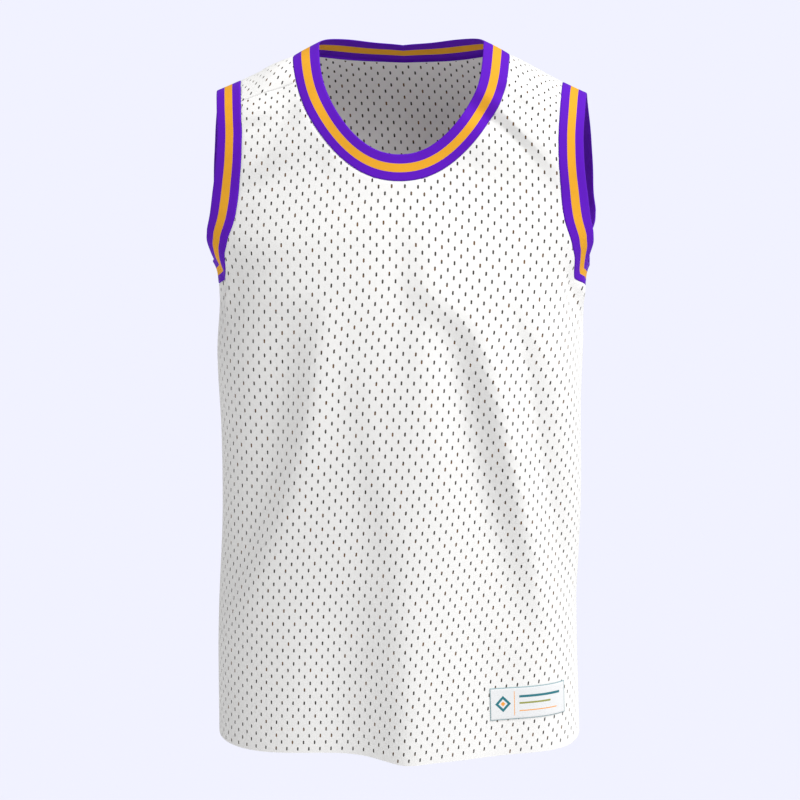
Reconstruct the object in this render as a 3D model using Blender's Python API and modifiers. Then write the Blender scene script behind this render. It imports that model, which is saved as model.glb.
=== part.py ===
"""A sleeveless basketball jersey, filled out as if worn, with nobody inside it.

Metres, +Z up, the front towards -Y and the wearer's left towards +X. The origin lies
midway between the two shoulders, 8 mm below where the neck seam crosses their tops.

The cloth lies on one smooth form. A place on that form has two coordinates:
  angle  the bearing round the body, 0 at the centre line and +-90 degrees at the sides;
  run    the signed way over the shoulder, 0 on the ridge, + down the front, - down the back.
Each piece is an outline, or a strip between two lines, in those coordinates. It is laid on
the form as an open surface and given its wall thickness by a Solidify modifier.
"""

from collections import namedtuple
from math import pi, radians

import bpy
import numpy as np
from mathutils import Vector
from mathutils.geometry import delaunay_2d_cdt

# --- Driving dimensions ---------------------------------------------------------------
WALL = 0.0012  # thickness of the mesh cloth and of the knitted bands
SEAM_GAP = 0.0004  # free space between two pieces along a seam
PATCH_THICKNESS = 0.0010  # woven hem patch
PATCH_GAP = 0.0003  # free space between the patch and the cloth under it
CLOTH_STEP = 0.021  # side of a facet on the two panels
BORDER_CLEARANCE = 0.6 * CLOTH_STEP  # least way from a facet's inner corner to an edge
SHOULDER_ARCH = 0.120  # drop over which the cloth rounds over the shoulder
RIDGE_TOP = 0.034  # height of the ridge line over the middle of the neck
RIDGE_SLOPE = 0.430  # fall of the shoulder per metre outwards
RIDGE_ROUND = 0.038  # radius of the soft crown of the ridge line
CREST_RIGHT = 0.0077  # how far the cloth stands up beside the neck, at the wearer's right
CREST_LEFT = 0.0092  # and at the wearer's left
CREST_OUT = 0.107  # way out from the middle to the crest
CREST_WIDTH = 0.046  # way over which it fades sideways
CREST_RUN = 0.085  # run over which it fades down the front and the back
HEM_DROP = 0.7125  # from the ridge down to the hem at the sides
SHOULDER_SEAM_STEP = 0.012  # between two points of a shoulder seam

# Runs of the forward shoulder seams, where each starts at the neck and ends at the arm.
ShoulderSeam = namedtuple("ShoulderSeam", "neck_run arm_run")
SHOULDER_SEAM_RIGHT = ShoulderSeam(0.0660, 0.0610)
SHOULDER_SEAM_LEFT = ShoulderSeam(0.0580, 0.0485)

# Cross-sections of the form, by the drop below the shoulder ridge. Half widths and
# depths run from the middle of the body; squareness is the superellipse's exponent, and
# slope is the share of the shoulder's slope that the rows of cloth still keep. The body
# hangs a little towards -X of the shoulders, by the sway.
Section = namedtuple("Section", "drop half_width front back squareness slope sway")
SECTIONS = (
    Section(0.000, 0.2500, 0.076, 0.076, 2.50, 1.00, 0.0000),
    Section(0.060, 0.2450, 0.072, 0.089, 2.50, 0.90, 0.0000),
    Section(0.110, 0.2350, 0.069, 0.098, 2.50, 0.78, 0.0000),
    Section(0.140, 0.2245, 0.079, 0.103, 2.50, 0.68, 0.0000),
    Section(0.175, 0.2026, 0.0930, 0.1090, 2.50, 0.560, -0.0003),
    Section(0.195, 0.1927, 0.0985, 0.1115, 2.52, 0.505, 0.0005),
    Section(0.223, 0.1889, 0.1050, 0.1140, 2.55, 0.430, 0.0007),
    Section(0.290, 0.1907, 0.112, 0.116, 2.60, 0.36, -0.0013),
    Section(0.380, 0.1882, 0.113, 0.115, 2.60, 0.32, -0.0015),
    Section(0.470, 0.1870, 0.110, 0.111, 2.60, 0.26, -0.0020),
    Section(0.580, 0.1880, 0.105, 0.107, 2.60, 0.17, -0.0020),
    Section(0.720, 0.1900, 0.102, 0.105, 2.60, 0.08, -0.0020),
)
# The section whose girth measures every way across the cloth.
WAIST = Section(0.400, 0.1890, 0.110, 0.110, 2.55, 0.0, 0.0)

# The two edges of the neckband: where they cross the ridge, how far they run down the
# front and the back, and how square the loop is there.
NeckLoop = namedtuple("NeckLoop", "half_width front_run back_run front_square back_square")
NECK_SEAM = NeckLoop(0.1110, 0.1990, 0.1045, 2.02, 1.75)
NECK_EDGE = NeckLoop(0.0840, 0.1765, 0.0765, 2.05, 1.75)
NECK_STATIONS = 72
# How far the band's free edge stands up off the form, by the bearing round the neck.
NeckLift = namedtuple("NeckLift", "turn lift")
NECK_LIFT = (
    NeckLift(0, 0.000),
    NeckLift(55, 0.0000),
    NeckLift(75, 0.0000),
    NeckLift(90, 0.0046),
    NeckLift(105, 0.0062),
    NeckLift(120, 0.0072),
    NeckLift(137, 0.0068),
    NeckLift(160, 0.0026),
    NeckLift(180, 0.000),
)

# Half an armhole, from the ridge to the underarm: where the band's seam and its free
# edge lie, each as an angle in degrees and a run. The band is mitred at the corner.
ArmRow = namedtuple("ArmRow", "place seam_angle seam_run edge_angle edge_run")
ARM_FRONT = (
    ArmRow("ridge", 38.3, 0.0000, 45.2, 0.0000),
    ArmRow("yoke", 37.6, 0.0600, 45.0, 0.0580),
    ArmRow("upper chest", 37.5, 0.1150, 45.1, 0.1060),
    ArmRow("chest", 39.5, 0.1600, 47.3, 0.1500),
    ArmRow("lower chest", 43.9, 0.2025, 52.0, 0.1900),
    ArmRow("curve", 51.5, 0.2290, 57.2, 0.2120),
    ArmRow("turn", 56.8, 0.2440, 62.0, 0.2260),
    ArmRow("corner", 63.6, 0.2700, 69.7, 0.2508),
    ArmRow("underarm", 90.0, 0.2872, 90.0, 0.2596),
)
ARM_BACK = (
    ArmRow("ridge", 38.3, 0.0000, 45.2, 0.0000),
    ArmRow("yoke", 38.3, 0.0600, 45.8, 0.0580),
    ArmRow("upper blade", 39.5, 0.1150, 47.3, 0.1060),
    ArmRow("blade", 41.6, 0.1600, 49.7, 0.1500),
    ArmRow("lower blade", 45.2, 0.2025, 53.5, 0.1900),
    ArmRow("curve", 52.2, 0.2290, 58.5, 0.2120),
    ArmRow("turn", 57.2, 0.2440, 63.1, 0.2260),
    ArmRow("corner", 63.6, 0.2700, 69.9, 0.2508),
    ArmRow("underarm", 90.0, 0.2872, 90.0, 0.2596),
)
ARM_LEG_STATIONS = 20  # from the ridge to the mitred corner
ARM_FOOT_STATIONS = 6  # from the corner to the side seam
BAND_STRIPS = 3  # facets across a band, one to a stripe

HEM_STATIONS = 25
# What the hem adds to HEM_DROP, by the way across from the centre line.
HemRow = namedtuple("HemRow", "across extra")
HEM_FRONT = (
    HemRow(-0.249, 0.000),
    HemRow(-0.170, 0.004),
    HemRow(-0.080, 0.0035),
    HemRow(-0.030, 0.0060),
    HemRow(0.010, 0.0105),
    HemRow(0.040, 0.0085),
    HemRow(0.075, 0.0050),
    HemRow(0.130, 0.0050),
    HemRow(0.190, 0.0035),
    HemRow(0.249, 0.000),
)
HEM_BACK = (
    HemRow(-0.249, 0.000),
    HemRow(-0.120, 0.003),
    HemRow(0.020, 0.001),
    HemRow(0.110, 0.004),
    HemRow(0.249, 0.000),
)

# The largest folds. Each is a soft step across the cloth: a trough, then a ridge on its
# +X side (or the other way round where the rise is negative). A row gives the drop, the
# way across, the rise from trough to ridge, and how far the trough and the ridge lie
# from the middle of the step.
FoldRow = namedtuple("FoldRow", "drop across rise to_trough to_ridge")
FRONT_FOLDS = {
    "chest to left hip": (
        FoldRow(0.130, 0.002, 0.000, 0.035, 0.030),
        FoldRow(0.200, 0.014, 0.004, 0.035, 0.030),
        FoldRow(0.250, 0.054, 0.009, 0.032, 0.028),
        FoldRow(0.300, 0.084, 0.014, 0.028, 0.026),
        FoldRow(0.370, 0.103, 0.017, 0.026, 0.026),
        FoldRow(0.450, 0.120, 0.015, 0.026, 0.028),
        FoldRow(0.530, 0.138, 0.009, 0.028, 0.028),
        FoldRow(0.620, 0.158, 0.000, 0.030, 0.030),
    ),
    "left flank": (
        FoldRow(0.230, 0.126, 0.000, 0.014, 0.014),
        FoldRow(0.310, 0.148, 0.004, 0.014, 0.016),
        FoldRow(0.410, 0.177, 0.005, 0.014, 0.018),
        FoldRow(0.500, 0.205, 0.004, 0.016, 0.018),
        FoldRow(0.570, 0.222, 0.000, 0.016, 0.018),
    ),
    "right flank": (
        FoldRow(0.190, -0.084, 0.000, 0.030, 0.026),
        FoldRow(0.240, -0.089, 0.007, 0.030, 0.026),
        FoldRow(0.310, -0.101, 0.012, 0.030, 0.026),
        FoldRow(0.390, -0.111, 0.014, 0.030, 0.028),
        FoldRow(0.480, -0.132, 0.013, 0.030, 0.030),
        FoldRow(0.560, -0.158, 0.008, 0.028, 0.032),
        FoldRow(0.640, -0.175, 0.000, 0.028, 0.032),
    ),
    "lower middle": (
        FoldRow(0.430, -0.058, 0.000, 0.040, 0.036),
        FoldRow(0.510, -0.052, 0.006, 0.042, 0.038),
        FoldRow(0.600, -0.042, 0.014, 0.044, 0.040),
        FoldRow(0.680, -0.035, 0.022, 0.046, 0.042),
        FoldRow(0.730, -0.031, 0.026, 0.046, 0.042),
    ),
    "left shoulder": (
        FoldRow(0.030, 0.072, 0.000, 0.012, 0.012),
        FoldRow(0.045, 0.090, 0.005, 0.012, 0.012),
        FoldRow(0.066, 0.112, 0.006, 0.012, 0.012),
        FoldRow(0.090, 0.125, 0.004, 0.012, 0.012),
        FoldRow(0.120, 0.133, 0.000, 0.012, 0.012),
    ),
    "right collar": (
        FoldRow(0.030, -0.086, 0.000, 0.018, 0.018),
        FoldRow(0.070, -0.084, 0.003, 0.018, 0.018),
        FoldRow(0.120, -0.088, 0.000, 0.018, 0.018),
    ),
}
BACK_FOLDS = {
    "blade to right hip": (
        FoldRow(0.200, -0.030, 0.000, 0.034, 0.030),
        FoldRow(0.290, -0.062, -0.010, 0.032, 0.030),
        FoldRow(0.390, -0.092, -0.014, 0.030, 0.028),
        FoldRow(0.500, -0.118, -0.012, 0.030, 0.028),
        FoldRow(0.620, -0.146, 0.000, 0.030, 0.030),
    ),
    "blade to left hip": (
        FoldRow(0.220, 0.062, 0.000, 0.030, 0.030),
        FoldRow(0.310, 0.086, 0.010, 0.030, 0.028),
        FoldRow(0.420, 0.112, 0.013, 0.030, 0.028),
        FoldRow(0.540, 0.142, 0.009, 0.030, 0.030),
        FoldRow(0.660, 0.166, 0.000, 0.030, 0.030),
    ),
    "lower back": (
        FoldRow(0.420, 0.030, 0.000, 0.040, 0.038),
        FoldRow(0.540, 0.022, -0.008, 0.042, 0.040),
        FoldRow(0.660, 0.012, -0.017, 0.044, 0.042),
        FoldRow(0.730, 0.006, -0.021, 0.044, 0.042),
    ),
}

# The hem patch, by its way across and its run, on the wearer's left front.
PATCH_ACROSS = (0.0970, 0.1870)
PATCH_RUN = (0.7113, 0.7465)
PATCH_COLUMNS = 7  # points along its length
PATCH_ROWS = 4  # and up its height

# --- The form -------------------------------------------------------------------------
QUARTER_ARC = SHOULDER_ARCH * pi / 2  # run of the whole rounding over the shoulder


def smooth_column(rows, key, column, at):
    """Read a table's column at the key values in `at`, with a smooth cubic between rows."""
    keys = np.array([getattr(row, key) for row in rows], dtype=float)
    values = np.array([getattr(row, column) for row in rows], dtype=float)
    slopes = np.gradient(values, keys)
    at = np.clip(at, keys[0], keys[-1])
    i = np.clip(np.searchsorted(keys, at, side="right") - 1, 0, len(keys) - 2)
    width = keys[i + 1] - keys[i]
    t = (at - keys[i]) / width
    return (
        (2 * t**3 - 3 * t**2 + 1) * values[i]
        + (t**3 - 2 * t**2 + t) * width * slopes[i]
        + (3 * t**2 - 2 * t**3) * values[i + 1]
        + (t**3 - t**2) * width * slopes[i + 1]
    )


def ridge_height(x):
    """Height of the shoulder ridge over the width: a gable with a softly rounded top."""
    return RIDGE_TOP - RIDGE_SLOPE * (np.hypot(x, RIDGE_ROUND) - RIDGE_ROUND)


def crest_height(x, run):
    """How far the cloth stands up over the shoulders, along the neck seam."""
    right = CREST_RIGHT * np.exp(-(((x + CREST_OUT) / CREST_WIDTH) ** 2))
    left = CREST_LEFT * np.exp(-(((x - CREST_OUT) / CREST_WIDTH) ** 2))
    return (right + left) * np.exp(-((run / CREST_RUN) ** 2))


def drop_of(run):
    """Drop below the ridge after a run: a quarter arch, and then straight down."""
    way = np.abs(run)
    turn = np.minimum(way / SHOULDER_ARCH, pi / 2)
    return SHOULDER_ARCH * (1 - np.cos(turn)) + np.maximum(way - QUARTER_ARC, 0)


def superellipse(angle, squareness):
    """A unit superellipse's point at a bearing, as (sideways, forwards)."""
    reach = (np.abs(np.sin(angle)) ** squareness + np.abs(np.cos(angle)) ** squareness) ** (
        -1 / squareness
    )
    return reach * np.sin(angle), reach * np.cos(angle)


def smooth_form(angle, run):
    """The form without its folds, as an array of points."""
    drop = drop_of(run)
    arch = np.sin(np.minimum(np.abs(run) / SHOULDER_ARCH, pi / 2))
    front = smooth_column(SECTIONS, "drop", "front", drop)
    back = smooth_column(SECTIONS, "drop", "back", drop)
    side, fore = superellipse(angle, smooth_column(SECTIONS, "drop", "squareness", drop))
    sway = smooth_column(SECTIONS, "drop", "sway", drop)
    x = smooth_column(SECTIONS, "drop", "half_width", drop) * side + sway
    y = -np.sign(run) * np.where(run >= 0, front, back) * fore * arch
    gable = ridge_height(x) * smooth_column(SECTIONS, "drop", "slope", drop)
    z = gable + crest_height(x, run) - drop
    return np.stack([x, y, z], axis=-1)


def outward(angle, run):
    """Unit normals of the smooth form, away from the body."""
    step = 1e-4
    along = smooth_form(angle, run + step) - smooth_form(angle, run - step)
    around = smooth_form(angle + step, run) - smooth_form(angle - step, run)
    normal = np.cross(along, around)
    return normal / np.linalg.norm(normal, axis=-1, keepdims=True)


def waist_table():
    """Matching arrays of the bearing and the way across, over a quarter of the waist."""
    angle = np.linspace(0, pi / 2, 2001)
    side, fore = superellipse(angle, WAIST.squareness)
    leaps = np.hypot(np.diff(WAIST.half_width * side), np.diff(WAIST.front * fore))
    return angle, np.concatenate([[0.0], np.cumsum(leaps)])


WAIST_ANGLE, WAIST_ACROSS = waist_table()
HALF_PANEL = float(WAIST_ACROSS[-1])  # centre line to side seam


def across_of(angle):
    """Way across the cloth from the centre line, at a bearing."""
    return np.sign(angle) * np.interp(np.abs(angle), WAIST_ANGLE, WAIST_ACROSS)


def angle_of(across):
    """Bearing at a way across the cloth."""
    return np.sign(across) * np.interp(np.abs(across), WAIST_ACROSS, WAIST_ANGLE)


def soft_step(offset, to_trough, to_ridge):
    """A step of height 1 over the offset from its middle: trough, slope, ridge."""
    reach = np.where(offset < 0, to_trough, to_ridge)
    share = reach / (to_trough + to_ridge)
    t = offset / reach
    return share * t * np.exp((1 - t**2) / 2)


def fold_height(angle, run):
    """How far the folds lift the cloth off the smooth form."""
    drop = drop_of(run)
    across = across_of(angle)
    round_body = np.where(run >= 0, across, np.sign(across) * 2 * HALF_PANEL - across)
    girth = 4 * HALF_PANEL
    height = np.zeros_like(drop)
    for folds, centre, facing in ((FRONT_FOLDS, 0.0, 1), (BACK_FOLDS, girth / 2, -1)):
        for rows in folds.values():
            middle = centre + facing * smooth_column(rows, "drop", "across", drop)
            offset = (round_body - middle + girth / 2) % girth - girth / 2
            inside = (drop > rows[0].drop) & (drop < rows[-1].drop + 0.02)
            step = soft_step(
                offset * facing,
                smooth_column(rows, "drop", "to_trough", drop),
                smooth_column(rows, "drop", "to_ridge", drop),
            )
            height += inside * smooth_column(rows, "drop", "rise", drop) * step
    return height


def place(angle, run):
    """Points of the cloth's middle surface."""
    return smooth_form(angle, run) + outward(angle, run) * fold_height(angle, run)[..., None]


# --- The seam lines -------------------------------------------------------------------
def neck_loop(loop, turn):
    """Half-width x and run of a neck line, by the turn from the centre front (radians)."""
    front = np.cos(turn) >= 0
    square = np.where(front, loop.front_square, loop.back_square)
    reach = np.where(front, loop.front_run, loop.back_run)
    x = loop.half_width * np.sign(np.sin(turn)) * np.abs(np.sin(turn)) ** (2 / square)
    run = reach * np.sign(np.cos(turn)) * np.abs(np.cos(turn)) ** (2 / square)
    return x, run


def angle_at_width(x, run):
    """Bearing of the point of the form that lies x from the middle."""
    drop = drop_of(run)
    squareness = smooth_column(SECTIONS, "drop", "squareness", drop)
    side = np.abs(x) / smooth_column(SECTIONS, "drop", "half_width", drop)
    return np.sign(x) * np.arctan2(side, (1 - side**squareness) ** (1 / squareness))


def neck_line(loop, turn):
    """A neck line as (angle, run)."""
    x, run = neck_loop(loop, turn)
    return np.stack([angle_at_width(x, run), run], axis=-1)


def leg_points(rows, count, angle_column, run_column):
    """Evenly spread points of a smooth line through some rows, without the last one."""
    Station = namedtuple("Station", "at angle run")
    stations = [
        Station(i, radians(getattr(row, angle_column)), getattr(row, run_column))
        for i, row in enumerate(rows)
    ]
    at = np.linspace(0, len(rows) - 1, count, endpoint=False)
    return np.stack(
        [smooth_column(stations, "at", column, at) for column in ("angle", "run")], axis=-1
    )


def foot_points(rows, count, angle_column, run_column):
    """Points from the mitred corner to the side seam, where the line runs level."""
    corner, underarm = rows[-2:]
    at = np.arange(count + 1) / count
    level = np.sin(at * pi / 2)
    angle_span = getattr(underarm, angle_column) - getattr(corner, angle_column)
    run_span = getattr(underarm, run_column) - getattr(corner, run_column)
    angle = np.radians(getattr(corner, angle_column) + angle_span * at)
    return np.stack([angle, getattr(corner, run_column) + run_span * level], axis=-1)


def arm_line(side, edge):
    """A closed armhole line as (angle, run): the front half down, the back half up.

    side is -1 or +1 in X, and edge is "seam" or "edge".
    """
    columns = (edge + "_angle", edge + "_run")
    halves = []
    for rows, sheet in ((ARM_FRONT, 1), (ARM_BACK, -1)):
        leg = leg_points(rows[:-1], ARM_LEG_STATIONS, *columns)
        foot = foot_points(rows, ARM_FOOT_STATIONS, *columns)
        halves.append(np.concatenate([leg, foot]) * (side, sheet))
    return halves[0], halves[1]


def hem_line(rows, sheet, count):
    """The hem from -X to +X on the front (sheet +1) or the back (-1)."""
    across = np.linspace(-HALF_PANEL, HALF_PANEL, count)
    drop = HEM_DROP + smooth_column(rows, "across", "extra", across)
    return np.stack([angle_of(across), sheet * (drop - SHOULDER_ARCH + QUARTER_ARC)], axis=-1)


# --- Building the pieces --------------------------------------------------------------
def make_material(name, colour, roughness):
    """A cloth material of one colour."""
    material = bpy.data.materials.new(name)
    material.use_nodes = True
    shader = material.node_tree.nodes["Principled BSDF"]
    shader.inputs["Base Color"].default_value = (*colour, 1.0)
    shader.inputs["Roughness"].default_value = roughness
    shader.inputs["Metallic"].default_value = 0.0
    return material


def make_piece(name, points, faces, material, thickness=WALL):
    """An open surface with a Solidify modifier, as one piece of cloth."""
    mesh = bpy.data.meshes.new(name)
    mesh.from_pydata(np.asarray(points).tolist(), [], faces)
    mesh.update()
    mesh.shade_smooth()
    mesh.materials.append(material)
    piece = bpy.data.objects.new(name, mesh)
    jersey.objects.link(piece)
    wall = piece.modifiers.new("Wall", "SOLIDIFY")
    wall.thickness = thickness
    wall.offset = 0.0
    return piece


def flat(line):
    """(angle, run) as flat cloth coordinates (across, run), both in metres."""
    return np.stack([across_of(line[..., 0]), line[..., 1]], axis=-1)


def inset(outline, distance):
    """A closed outline moved inwards; its area is to the left as it runs."""
    before = np.roll(outline, 1, axis=0)
    after = np.roll(outline, -1, axis=0)
    first = (outline - before) / np.linalg.norm(outline - before, axis=1, keepdims=True)
    second = (after - outline) / np.linalg.norm(after - outline, axis=1, keepdims=True)
    turn_left = np.array([[0.0, 1.0], [-1.0, 0.0]])
    corner = (first + second) @ turn_left
    scale = (corner * (first @ turn_left)).sum(axis=1, keepdims=True)
    return outline + corner * distance / scale


def inside_outline(points, outline):
    """Which points lie inside a closed outline, by the even-odd rule."""
    start = outline
    end = np.roll(outline, -1, axis=0)
    px, py = points[:, 0, None], points[:, 1, None]
    spans = (start[:, 1] > py) != (end[:, 1] > py)
    rise = np.where(end[:, 1] == start[:, 1], 1.0, end[:, 1] - start[:, 1])
    crossing = start[:, 0] + (py - start[:, 1]) / rise * (end[:, 0] - start[:, 0])
    return (spans & (px < crossing)).sum(axis=1) % 2 == 1


def seam_run(angle, end):
    """Run of a shoulder seam's end, which differs a little from side to side.

    angle is a bearing, or a side as -1 or +1, and end is "neck_run" or "arm_run".
    """
    left, right = (getattr(seam, end) for seam in (SHOULDER_SEAM_LEFT, SHOULDER_SEAM_RIGHT))
    return np.where(angle > 0, left, right)


def neck_seam_stations(front):
    """The neck seam's stations on one side of the shoulder seams, from -X to +X."""
    from_back = np.arange(NECK_STATIONS) * 2 * pi / NECK_STATIONS - pi
    line = neck_line(NECK_SEAM, from_back + pi)
    ahead = line[:, 1] > seam_run(line[:, 0], "neck_run")
    if front:
        kept = line[ahead]
        return kept[np.argsort(kept[:, 0])]
    return line[~ahead][::-1]


def neck_corner(side):
    """Where a shoulder seam meets the neck seam."""
    run = float(seam_run(side, "neck_run"))
    x = NECK_SEAM.half_width * (1 - (run / NECK_SEAM.front_run) ** NECK_SEAM.front_square) ** (
        1 / NECK_SEAM.front_square
    )
    return np.array([[float(angle_at_width(np.array(side * x), np.array(run))), run]])


def arm_corner(side):
    """Where a shoulder seam meets the armhole seam."""
    run = float(seam_run(side, "arm_run"))
    front = arm_line(side, "seam")[0]
    return np.array([[float(np.interp(run, front[:, 1], front[:, 0])), run]])


def straight(start, end, step):
    """Points from start to end, without either end, about a step apart."""
    count = max(int(np.linalg.norm(flat(end) - flat(start)) / step), 1)
    share = np.arange(1, count)[:, None] / count
    return start + (end - start) * share


def side_outline(side, front, hem_end):
    """A panel's edge on one side: shoulder seam, armhole seam and side seam."""
    front_half, back_half = arm_line(side, "seam")
    seam = float(seam_run(side, "arm_run"))
    if front:
        armhole = front_half[front_half[:, 1] > seam]
    else:
        over_top = front_half[front_half[:, 1] < seam][::-1]
        armhole = np.concatenate([over_top, back_half[1:]])
    neck_end, arm_end = neck_corner(side), arm_corner(side)
    shoulder = straight(neck_end, arm_end, SHOULDER_SEAM_STEP)
    side_seam = straight(armhole[-1:], hem_end, CLOTH_STEP)
    return np.concatenate([neck_end, shoulder, arm_end, armhole, side_seam])


def panel_outline(front):
    """A panel's closed outline in flat coordinates, area to the left as it runs."""
    hem = hem_line(HEM_FRONT if front else HEM_BACK, 1 if front else -1, HEM_STATIONS)
    right_side = side_outline(-1, front, hem[:1])
    left_side = side_outline(1, front, hem[-1:])
    neck = neck_seam_stations(front)
    outline = flat(np.concatenate([neck[::-1], right_side, hem, left_side[::-1]]))
    ahead = np.roll(outline, -1, axis=0)
    area = np.sum(outline[:, 0] * ahead[:, 1] - outline[:, 1] * ahead[:, 0])
    return outline if area > 0 else outline[::-1]


def patch_outline():
    """The hem patch's outline in flat coordinates, in steps that the panel shares."""
    (left, right), (top, bottom) = PATCH_ACROSS, PATCH_RUN
    along = np.linspace(left, right, PATCH_COLUMNS)
    upright = np.linspace(top, bottom, PATCH_ROWS)
    upper = np.stack([along, np.full_like(along, top)], axis=-1)
    lower = np.stack([along, np.full_like(along, bottom)], axis=-1)
    near = np.stack([np.full_like(upright, right), upright], axis=-1)
    far = np.stack([np.full_like(upright, left), upright], axis=-1)
    return np.concatenate([upper[:-1], near[:-1], lower[:0:-1], far[:0:-1]])


def cut_and_lay(outline, patch=None):
    """Triangulate a flat outline, and lay it on the form.

    Returns the points, the outward faces, and the faces under the patch.
    """
    low, high = outline.min(axis=0), outline.max(axis=0)
    along = np.arange(low[0], high[0], CLOTH_STEP)
    down = np.arange(low[1], high[1], CLOTH_STEP)
    grid = np.stack(np.meshgrid(along, down), axis=-1)
    grid[1::2, :, 0] += CLOTH_STEP / 2
    grid = grid.reshape(-1, 2)
    border = outline if patch is None else np.concatenate([outline, patch])
    clearance = np.linalg.norm(grid[:, None] - border[None], axis=-1).min(axis=1)
    grid = grid[(clearance > BORDER_CLEARANCE) & inside_outline(grid, outline)]
    loops = [list(range(len(outline)))]
    if patch is not None:
        grid = grid[~inside_outline(grid, inset(patch, -BORDER_CLEARANCE / 2))]
        loops.append(list(range(len(outline), len(outline) + len(patch))))
    points = np.concatenate([border, grid])
    result = delaunay_2d_cdt([Vector(p) for p in points.tolist()], [], loops, 1, 1e-7)
    laid = np.array([tuple(v) for v in result[0]])
    faces = [tuple(face)[::-1] for face in result[2]]
    under = [face for face, origins in zip(faces, result[5]) if 1 in origins]
    return place(angle_of(laid[:, 0]), laid[:, 1]), faces, under


def make_panel(name, front, patch=None):
    """The front or the back panel; returns its faces under the patch too."""
    outline = inset(panel_outline(front), SEAM_GAP / 2)
    points, faces, under = cut_and_lay(outline, patch)
    piece = make_piece(name, points, faces, cloth)
    return piece, under


def make_band(name, seam, edge, lift, material):
    """A closed band between its seam and its free edge, each a loop of (angle, run)."""
    width = np.linalg.norm(place(seam[:, 0], seam[:, 1]) - place(edge[:, 0], edge[:, 1]), axis=1)
    start = (SEAM_GAP / 2 / width)[:, None]
    rings = []
    for strip in range(BAND_STRIPS + 1):
        share = start + (1 - start) * strip / BAND_STRIPS
        line = seam + (edge - seam) * share
        ring = place(line[:, 0], line[:, 1])
        ring[:, 2] += lift * share[:, 0]
        rings.append(ring)
    count = len(seam)
    faces = []
    for strip in range(BAND_STRIPS):
        for i in range(count):
            j = (i + 1) % count
            low, high = strip * count, (strip + 1) * count
            faces.append((low + i, low + j, high + j, high + i))
    return make_piece(name, np.concatenate(rings), faces, material)


def make_neckband():
    """The neckband, a loop from the centre front round by +X."""
    turn = np.arange(NECK_STATIONS) * 2 * pi / NECK_STATIONS
    seam = neck_line(NECK_SEAM, turn)
    edge = neck_line(NECK_EDGE, turn)
    from_front = np.degrees(np.minimum(turn, 2 * pi - turn))
    lift = smooth_column(NECK_LIFT, "turn", "lift", from_front)
    return make_band("neckband", seam, edge, lift, knit)


def make_armhole_band(name, side):
    """An armhole band, a loop down the front, round the underarm and up the back."""
    loops = []
    for edge in ("seam", "edge"):
        front_half, back_half = arm_line(side, edge)
        loops.append(np.concatenate([front_half, back_half[-2:0:-1]]))
    seam, edge = loops if side > 0 else (loops[0][::-1], loops[1][::-1])
    return make_band(name, seam, edge, np.zeros(len(seam)), knit)


def make_patch(panel, under):
    """The hem patch: the panel's own facets under it, moved out clear of the cloth."""
    used = sorted({corner for face in under for corner in face})
    rank = {corner: i for i, corner in enumerate(used)}
    way_out = WALL / 2 + PATCH_GAP + PATCH_THICKNESS / 2
    vertices = panel.data.vertices
    points = [vertices[i].co + vertices[i].normal * way_out for i in used]
    faces = [tuple(rank[corner] for corner in face) for face in under]
    return make_piece("hem_patch", points, faces, woven, PATCH_THICKNESS)


for leftover in list(bpy.data.objects):
    bpy.data.objects.remove(leftover, do_unlink=True)
jersey = bpy.data.collections.new("basketball_jersey")
bpy.context.scene.collection.children.link(jersey)

cloth = make_material("white_mesh_cloth", (0.93, 0.92, 0.90), 0.75)
knit = make_material("purple_rib_knit", (0.12, 0.011, 0.55), 0.70)
woven = make_material("pale_woven_patch", (0.82, 0.84, 0.85), 0.60)

front_panel, patch_faces = make_panel("front_panel", True, patch_outline())
back_panel, _ = make_panel("back_panel", False)
make_neckband()
make_armhole_band("right_armhole_band", -1)
make_armhole_band("left_armhole_band", 1)
make_patch(front_panel, patch_faces)
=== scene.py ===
"""The looks of a sleeveless basketball jersey, filled out as if worn, with nobody in it.

Metres, +Z up, the front towards -Y and the wearer's left towards +X. Every piece of cloth
lies on one form. A place on the form has two coordinates: the way across the cloth from the
centre line, and the signed run over the shoulder, 0 on the ridge, + down the front and - down
the back. Each piece is a thin closed shell over a patch of those coordinates.
"""

import logging
from dataclasses import dataclass, field
from enum import Enum
from math import cos, pi, radians, sin
from typing import Callable, NamedTuple, Sequence

import bpy
import numpy as np
from mathutils import Matrix, Vector
from mathutils.geometry import delaunay_2d_cdt


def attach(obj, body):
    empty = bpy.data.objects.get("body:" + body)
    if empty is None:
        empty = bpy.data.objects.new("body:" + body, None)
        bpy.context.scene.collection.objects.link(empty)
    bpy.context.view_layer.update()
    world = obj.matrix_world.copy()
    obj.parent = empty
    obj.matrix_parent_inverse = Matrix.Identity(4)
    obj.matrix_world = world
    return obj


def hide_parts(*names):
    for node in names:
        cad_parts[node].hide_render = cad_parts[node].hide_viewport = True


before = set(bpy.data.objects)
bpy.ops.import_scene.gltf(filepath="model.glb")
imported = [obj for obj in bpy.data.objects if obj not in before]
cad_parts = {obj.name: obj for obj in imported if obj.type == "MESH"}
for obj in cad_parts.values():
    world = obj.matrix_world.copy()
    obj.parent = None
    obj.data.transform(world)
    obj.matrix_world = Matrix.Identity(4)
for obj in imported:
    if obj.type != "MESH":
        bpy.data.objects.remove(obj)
log = logging.getLogger("jersey")

Array = np.ndarray
Surface = Callable[[Array, Array], Array]
Colour = tuple[float, float, float, float]


class Sheet(Enum):
    """The two halves of the body, with the sign of their runs."""

    FRONT = 1
    BACK = -1


class Side(Enum):
    """The wearer's two sides, with the sign of their X."""

    RIGHT = -1
    LEFT = 1


class BandEdge(Enum):
    """The two edges of a band: where it is sewn on, and where it ends."""

    SEAM = "seam"
    FREE = "edge"


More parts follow.
